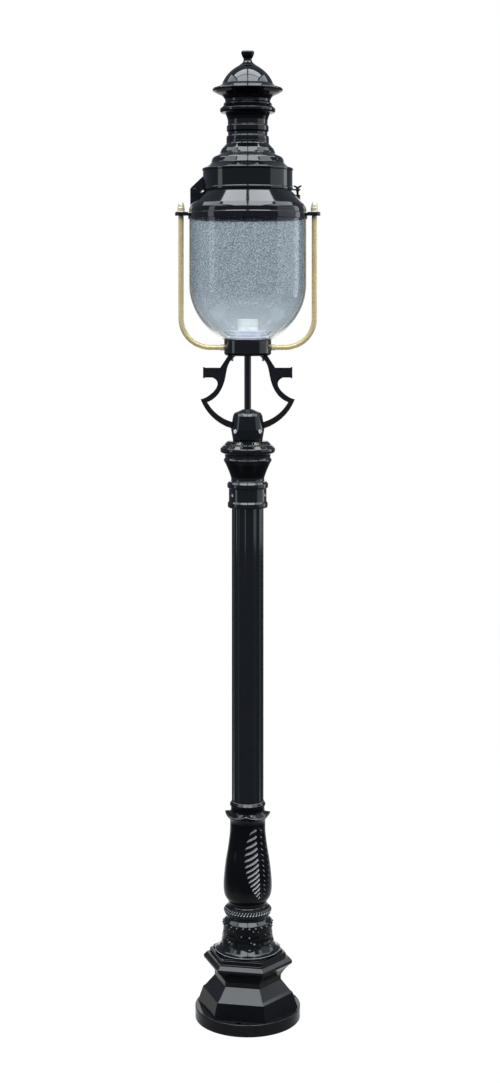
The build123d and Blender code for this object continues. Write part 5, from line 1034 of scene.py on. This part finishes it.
def slab(name, outline, low, high, edge=1.2, upright=False):
    """Flat plate with rounded edges: its outline, drawn in along its normals by a quarter round at both
    faces. The outline lies in XY and rises along Z, or upright in XZ with its thickness along Y."""
    across = outline - np.roll(outline, 1, axis=0)
    across = across + np.roll(outline, -1, axis=0) - outline
    inward = np.stack([-across[:, 1], across[:, 0]], -1) / np.linalg.norm(across, axis=1)[:, None]
    turn = np.radians(np.linspace(0, 90, 6))
    draw = np.concatenate([edge * (1 - np.sin(turn)), edge * (1 - np.cos(turn))])[:, None, None]
    level = np.concatenate([low + edge * (1 - np.cos(turn)), high - edge * (1 - np.sin(turn))])
    flat = outline + draw * inward
    level = level[:, None] + 0 * flat[..., 0]
    order = [flat[..., 0], level, flat[..., 1]] if upright else [flat[..., 0], flat[..., 1], level]
    return skin(name, np.stack(order, -1))


def round_end(centre, radius, start, end, steps=25):
    """Arc of a circle between two angles in degrees."""
    turn = np.radians(np.linspace(start, end, steps))
    return np.stack([centre[0] + radius * np.cos(turn), centre[1] + radius * np.sin(turn)], -1)


canopy = casting("canopy_casting", CANOPY_SECTION, CANOPY_FOOT, columns=224)
for side in (-1, 1):
    facing = 90 - 90 * side
    tip = round_end((side * ARM_REACH, 0), EAR_RADIUS, facing - 90, facing + 90)
    root = side * np.array([(EAR_ROOT, EAR_RADIUS), (EAR_ROOT, -EAR_RADIUS)])
    join(canopy, slab("ear", np.concatenate([tip, root]), EAR_LOW, EAR_HIGH), "UNION")
    hole = bar("stud_hole", STUD_HOLE, *STUD_CUT, (side * ARM_REACH, 0, 0))
    join(canopy, hole, "DIFFERENCE")
tongue = np.concatenate([round_end((-HINGE_REACH, LID_LEVEL), HINGE_EYE, -20, 180), TONGUE_FOOT])
join(canopy, slab("tongue", tongue, -TONGUE_HALF, TONGUE_HALF, edge=1, upright=True), "UNION")
join(canopy, bar("pin_hole", HINGE_HOLE, *PIN_CUT, *HINGE_AXIS, columns=40), "DIFFERENCE")
join(canopy, bar("latch_boss", LATCH_BOSS, *LATCH_BOSS_ENDS, LATCH_PLACE), "UNION")
join(canopy, bar("latch_hole", LATCH_HOLE, *LATCH_CUT, LATCH_PLACE), "DIFFERENCE")
fit(canopy, "post", "black_paint", GLOSS_PAINT, "canopy")


# Lid
# Hollow iron drum with a stepped roof, black gloss paint. Two cheeks at the left straddle the canopy's lug,
# and a tab at the right holds the thumb screw; the whole lid swings up on the hinge to change the lamp.

LID_SECTION = [
    (98, 0, 0.6), (109, 0, 2), (109, 6, 2.4), (107.5, 7.5, 1), (107.5, 46.5, 1), (109, 48, 1.5),
    (109, 52.5, 2.4), (104, 54.5, 2), (95, 60, 8), (88.6, 65.5, 3), (87, 70, 4), (84, 79, 10),
    (71, 85.5, 3), (67, 88, 1.5), (65.8, 92, 5), (62.6, 99.5, 8), (52.5, 110.5, 2), (51.5, 112, 1),
    (51.5, 118, 0.5), (40, 118, 0.8), (40, 111, 0.8), (49, 110, 1), (52, 88, 2), (72, 72, 3), (84, 50, 3),
    (103.5, 46, 3), (103.5, 4, 1), (98, 4, 0.6),
]
CHEEK_IN = TONGUE_HALF + 0.3
CHEEK_OUT = CHEEK_IN + 8
CHEEK_ROOT = [
    (-HINGE_REACH + 8, LID_LEVEL - 3.2), (-109.6, LID_LEVEL - 3.2), (-109.6, LID_LEVEL + 0.4),
    (-105.5, LID_LEVEL + 0.4), (-105.5, LID_LEVEL + 33), (-107.5, LID_LEVEL + 33),
]
TAB_HALF = 7.0
TAB_ROOT = [(105, TAB_HALF), (105, -TAB_HALF)]
TAB_LOW = LID_LEVEL + 0.3
TAB_HIGH = LID_LEVEL + 3.8
TAB_CUT = (LID_LEVEL - 2, LID_LEVEL + 10)

lid = casting("lid_casting", LID_SECTION, LID_LEVEL, columns=224)
cheek = np.concatenate([round_end((-HINGE_REACH, LID_LEVEL), HINGE_EYE, 135, 315), CHEEK_ROOT])
for low, high in ((-CHEEK_OUT, -CHEEK_IN), (CHEEK_IN, CHEEK_OUT)):
    join(lid, slab("cheek", cheek, low, high, edge=1, upright=True), "UNION")
join(lid, bar("pin_hole", HINGE_HOLE, *PIN_CUT, *HINGE_AXIS, columns=40), "DIFFERENCE")
tab = np.concatenate([round_end((LATCH_REACH, 0), TAB_HALF, -90, 90), TAB_ROOT])
join(lid, slab("tab", tab, TAB_LOW, TAB_HIGH, edge=0.6), "UNION")
join(lid, bar("screw_hole", HINGE_HOLE, *TAB_CUT, LATCH_PLACE), "DIFFERENCE")
fit(lid, "lid", "black_paint", GLOSS_PAINT, "lid_drum")


# Chimney
# Ribbed iron chimney on the roof, black gloss paint, with a heavy ring at its top for the hood to stand on.
# The finial's rod clamps it between roof and hood.

CHIMNEY_SECTION = [
    (42, 0, 0.5), (50.6, 0, 1), (51.4, 5, 4), (50.4, 11.5, 3), (47.6, 13.5, 1.5), (47.4, 21, 1.5),
    (50.4, 23.5, 4), (50.4, 36, 4), (47.8, 38.5, 1.5), (48, 50, 2), (50.4, 58, 3), (52, 62, 3),
    (54, 67.5, 2), (63.5, 67.5, 2), (66.5, 70.5, 3), (66.5, 77, 3), (58, 85, 1.5), (42, 85, 0.5),
]

chimney = casting("chimney_casting", CHIMNEY_SECTION, levels("chimney")[0], columns=176)
fit(chimney, "lid", "black_paint", GLOSS_PAINT, "chimney")


# Hood
# Domed iron cap with a flared brim, black gloss paint. It stands on the chimney's mouth and keeps the rain
# out, held down by the finial.

HOOD_SECTION = [
    (50, 0, 0.5), (58, 0, 1.5), (58, 4, 2), (54.5, 8, 1.5), (54.5, 14, 6), (60, 23, 16), (74, 29, 10),
    (83.2, 34.5, 2), (84.7, 37, 2.5), (83.2, 40.5, 2), (70, 45.5, 8), (62, 51, 8), (52, 79, 300),
    (22, 95, 1), (4.1, 95, 0.4), (4.1, 90, 0.4), (20, 87, 4), (44, 62, 6), (50, 40, 4),
]

hood = casting("hood_casting", HOOD_SECTION, levels("hood")[0], columns=192)
fit(hood, "lid", "black_paint", GLOSS_PAINT, "hood")


# Finial
# Turned iron knob on top of the hood, black gloss paint. It is screwed on the rod that clamps the lid's
# castings together.

FINIAL_SECTION = [
    (0, 18, 0), (4.05, 18, 0.3), (4.05, 0, 0.3), (21.5, 0, 0.6), (18, 3, 3), (13, 7, 3), (10.6, 10.5, 2),
    (10, 14, 2), (9.6, 16, 4), (13.6, 23, 8), (15.8, 30, 3), (15.8, 32.5, 1.5), (14, 35, 1.2), (0, 35, 0),
]

finial = turned("finial_knob", soften(FINIAL_SECTION), levels("finial")[0], columns=96)
fit(finial, "lid", "black_paint", GLOSS_PAINT, "finial")


# Hinge pin and thumb screw
# Riveted steel pin through the lug and the cheeks, and the winged screw that holds the lid shut from its tab.
# Both are painted with the lid.

PIN_EDGE = 0.5

hinge_rivet = rounded_copy("hinge_pin", "hinge_rivet", PIN_EDGE, segments=2)
fit(hinge_rivet, "lid", "black_paint", GLOSS_PAINT, "hinge_pin")
wing_screw = rounded_copy("thumb_screw", "winged_screw", PIN_EDGE, segments=2)
fit(wing_screw, "latch", "black_paint", GLOSS_PAINT, "thumb_screw")


# Floor and backdrop
# Plain pale floor and a white sheet behind it, no part of the object. They are only as large as the picture
# needs and thin out over their borders; the floor keeps the shadow.

NEAR_REACH = 0.58
FAR_REACH = 1.45
FLOOR_NEAR = -0.38
FLOOR_FAR = 5.0
SHEET_HEIGHT = 3.4
BORDER = 0.8
FLOOR_GLOW = 0.9
SHEET_GLOW = 1.0
PALE = (0.85, 0.85, 0.85, 1)


def white_stage(name, glow):
    """White that shows as white to the camera, in reflections and through glass, over a plain matt white;
    it thins out with the sheet's own "shown" attribute, and from behind it is clear."""
    material, tree, shader = surface(name)
    tree.nodes.remove(shader)
    path = add(tree, "ShaderNodeLightPath").outputs
    seen = math(tree, "MAXIMUM", path["Is Camera Ray"], path["Is Glossy Ray"])
    seen = math(tree, "MAXIMUM", seen, path["Is Transmission Ray"])
    matt = add(tree, "ShaderNodeBsdfDiffuse", {"Color": PALE})
    light = add(tree, "ShaderNodeEmission", {"Color": (1, 1, 1, 1), "Strength": 1.0})
    share = math(tree, "MULTIPLY", seen, glow)
    both = add(tree, "ShaderNodeMixShader", {0: share, 1: matt.outputs[0], 2: light.outputs[0]})
    clear = add(tree, "ShaderNodeBsdfTransparent")
    behind = add(tree, "ShaderNodeNewGeometry").outputs["Backfacing"]
    shown = add(tree, "ShaderNodeAttribute", attribute_name="shown").outputs["Fac"]
    hidden = math(tree, "SUBTRACT", 1.0, math(tree, "MULTIPLY", shown, shown))
    hidden = math(tree, "MAXIMUM", behind, hidden)
    one_sided = add(tree, "ShaderNodeMixShader", {0: hidden, 1: both.outputs[0], 2: clear.outputs[0]})
    feed(tree, tree.nodes["Material Output"], {"Surface": one_sided.outputs[0]})
    return material


def flat_stage(name, corners, outward, glow):
    """One flat sheet of the stage: four corners, and a border that runs from three of its sides to the
    corners moved outward, where it has thinned out to nothing."""
    mesh = bpy.data.meshes.new(name)
    corners = np.array(corners, float)
    points = np.concatenate([corners, corners + BORDER * np.array(outward)])
    mesh.from_pydata(points.tolist(), [], [(0, 1, 2, 3), (4, 5, 1, 0), (5, 6, 2, 1), (7, 4, 0, 3)])
    mesh.attributes.new("shown", "FLOAT", "POINT").data.foreach_set("value", np.repeat([1.0, 0.0], 4))
    mesh.materials.append(white_stage(name, glow))
    stand(name, mesh)


near_edge = [(-NEAR_REACH, FLOOR_NEAR, 0), (NEAR_REACH, FLOOR_NEAR, 0)]
far_edge = [(FAR_REACH, FLOOR_FAR, 0), (-FAR_REACH, FLOOR_FAR, 0)]
top_edge = [(FAR_REACH, FLOOR_FAR, SHEET_HEIGHT), (-FAR_REACH, FLOOR_FAR, SHEET_HEIGHT)]
flat_stage("floor", near_edge + far_edge, [(-1, -1, 0), (1, -1, 0), (1, 0, 0), (-1, 0, 0)], FLOOR_GLOW)
flat_stage("backdrop", top_edge + far_edge[::-1], [(1, 0, 1), (-1, 0, 1), (-1, 0, 0), (1, 0, 0)], SHEET_GLOW)


# Light and camera
# Four soft boxes high overhead with narrow dark bars between them, like a skylight, dimmer ones beside them
# and low at the sides, and a dim even surround; the camera stands level with the bowl, four metres away.

SKY_LEVEL = 10.0
SKY_WIDTH = 5.6
SKY_BAR = 0.45
SKY_GLOW = 5.2
SKY_ROWS = ((-12.0, -2.0), (-1.6, 1.9))
WING_PLACE = (9.5, -1.0)
WING_SIZE = (6.0, 13.0)
WING_GLOW = 2.4
SIDE_PLACES = ((6.95, -0.9, 6.0, 0.6), (6.6, 2.6, 1.7, 1.7), (-6.7, -1.9, 1.6, 1.1))
SIDE_LEVEL = 2.7
SIDE_TALL = 5.2
SKY_COLOUR = (0.9, 0.96, 1.0)
SURROUND = (0.62, 0.72, 0.9, 1)
SURROUND_STRENGTH = 0.2
CAMERA_DISTANCE = 4.055
CAMERA_HEIGHT = 1.701
CAMERA_LENS = 56.5
PICTURE_HEIGHT = 1083
HORIZON_ROW = 302
AXIS_COLUMN_OFFSET = 2.3


def soft_box(place, size, glow, turn=(0, 0, 0)):
    """Rectangular lamp whose power gives every part of its face the same glow."""
    light = bpy.data.lights.new("soft_box", "AREA")
    light.shape = "RECTANGLE"
    light.size, light.size_y = size
    light.energy = glow * np.pi * size[0] * size[1]
    light.color = SKY_COLOUR
    lamp = stand("soft_box", light)
    lamp.location = place
    lamp.rotation_euler = turn


for near, far in SKY_ROWS:
    for side in (-1, 1):
        place = (side * (SKY_WIDTH + SKY_BAR) / 2, (near + far) / 2, SKY_LEVEL)
        soft_box(place, (SKY_WIDTH, far - near), SKY_GLOW)
for side in (-1, 1):
    soft_box((side * WING_PLACE[0], WING_PLACE[1], SKY_LEVEL), WING_SIZE, WING_GLOW)
for x, y, wide, glow in SIDE_PLACES:
    soft_box((x, y, SIDE_LEVEL), (SIDE_TALL, wide), glow, (0, np.pi / 2, np.arctan2(y, x)))

world = bpy.data.worlds.new("surround")
world.use_nodes = True
world.node_tree.nodes["Background"].inputs["Color"].default_value = SURROUND
world.node_tree.nodes["Background"].inputs["Strength"].default_value = SURROUND_STRENGTH
bpy.context.scene.world = world

camera_data = bpy.data.cameras.new("camera")
camera_data.lens = CAMERA_LENS
camera_data.shift_x = AXIS_COLUMN_OFFSET / PICTURE_HEIGHT
camera_data.shift_y = (HORIZON_ROW - PICTURE_HEIGHT / 2) / PICTURE_HEIGHT
camera = stand("camera", camera_data)
camera.location = (0, -CAMERA_DISTANCE, CAMERA_HEIGHT)
camera.rotation_euler = (np.pi / 2, 0, 0)
bpy.context.scene.camera = camera
bpy.context.scene.view_settings.view_transform = "Standard"
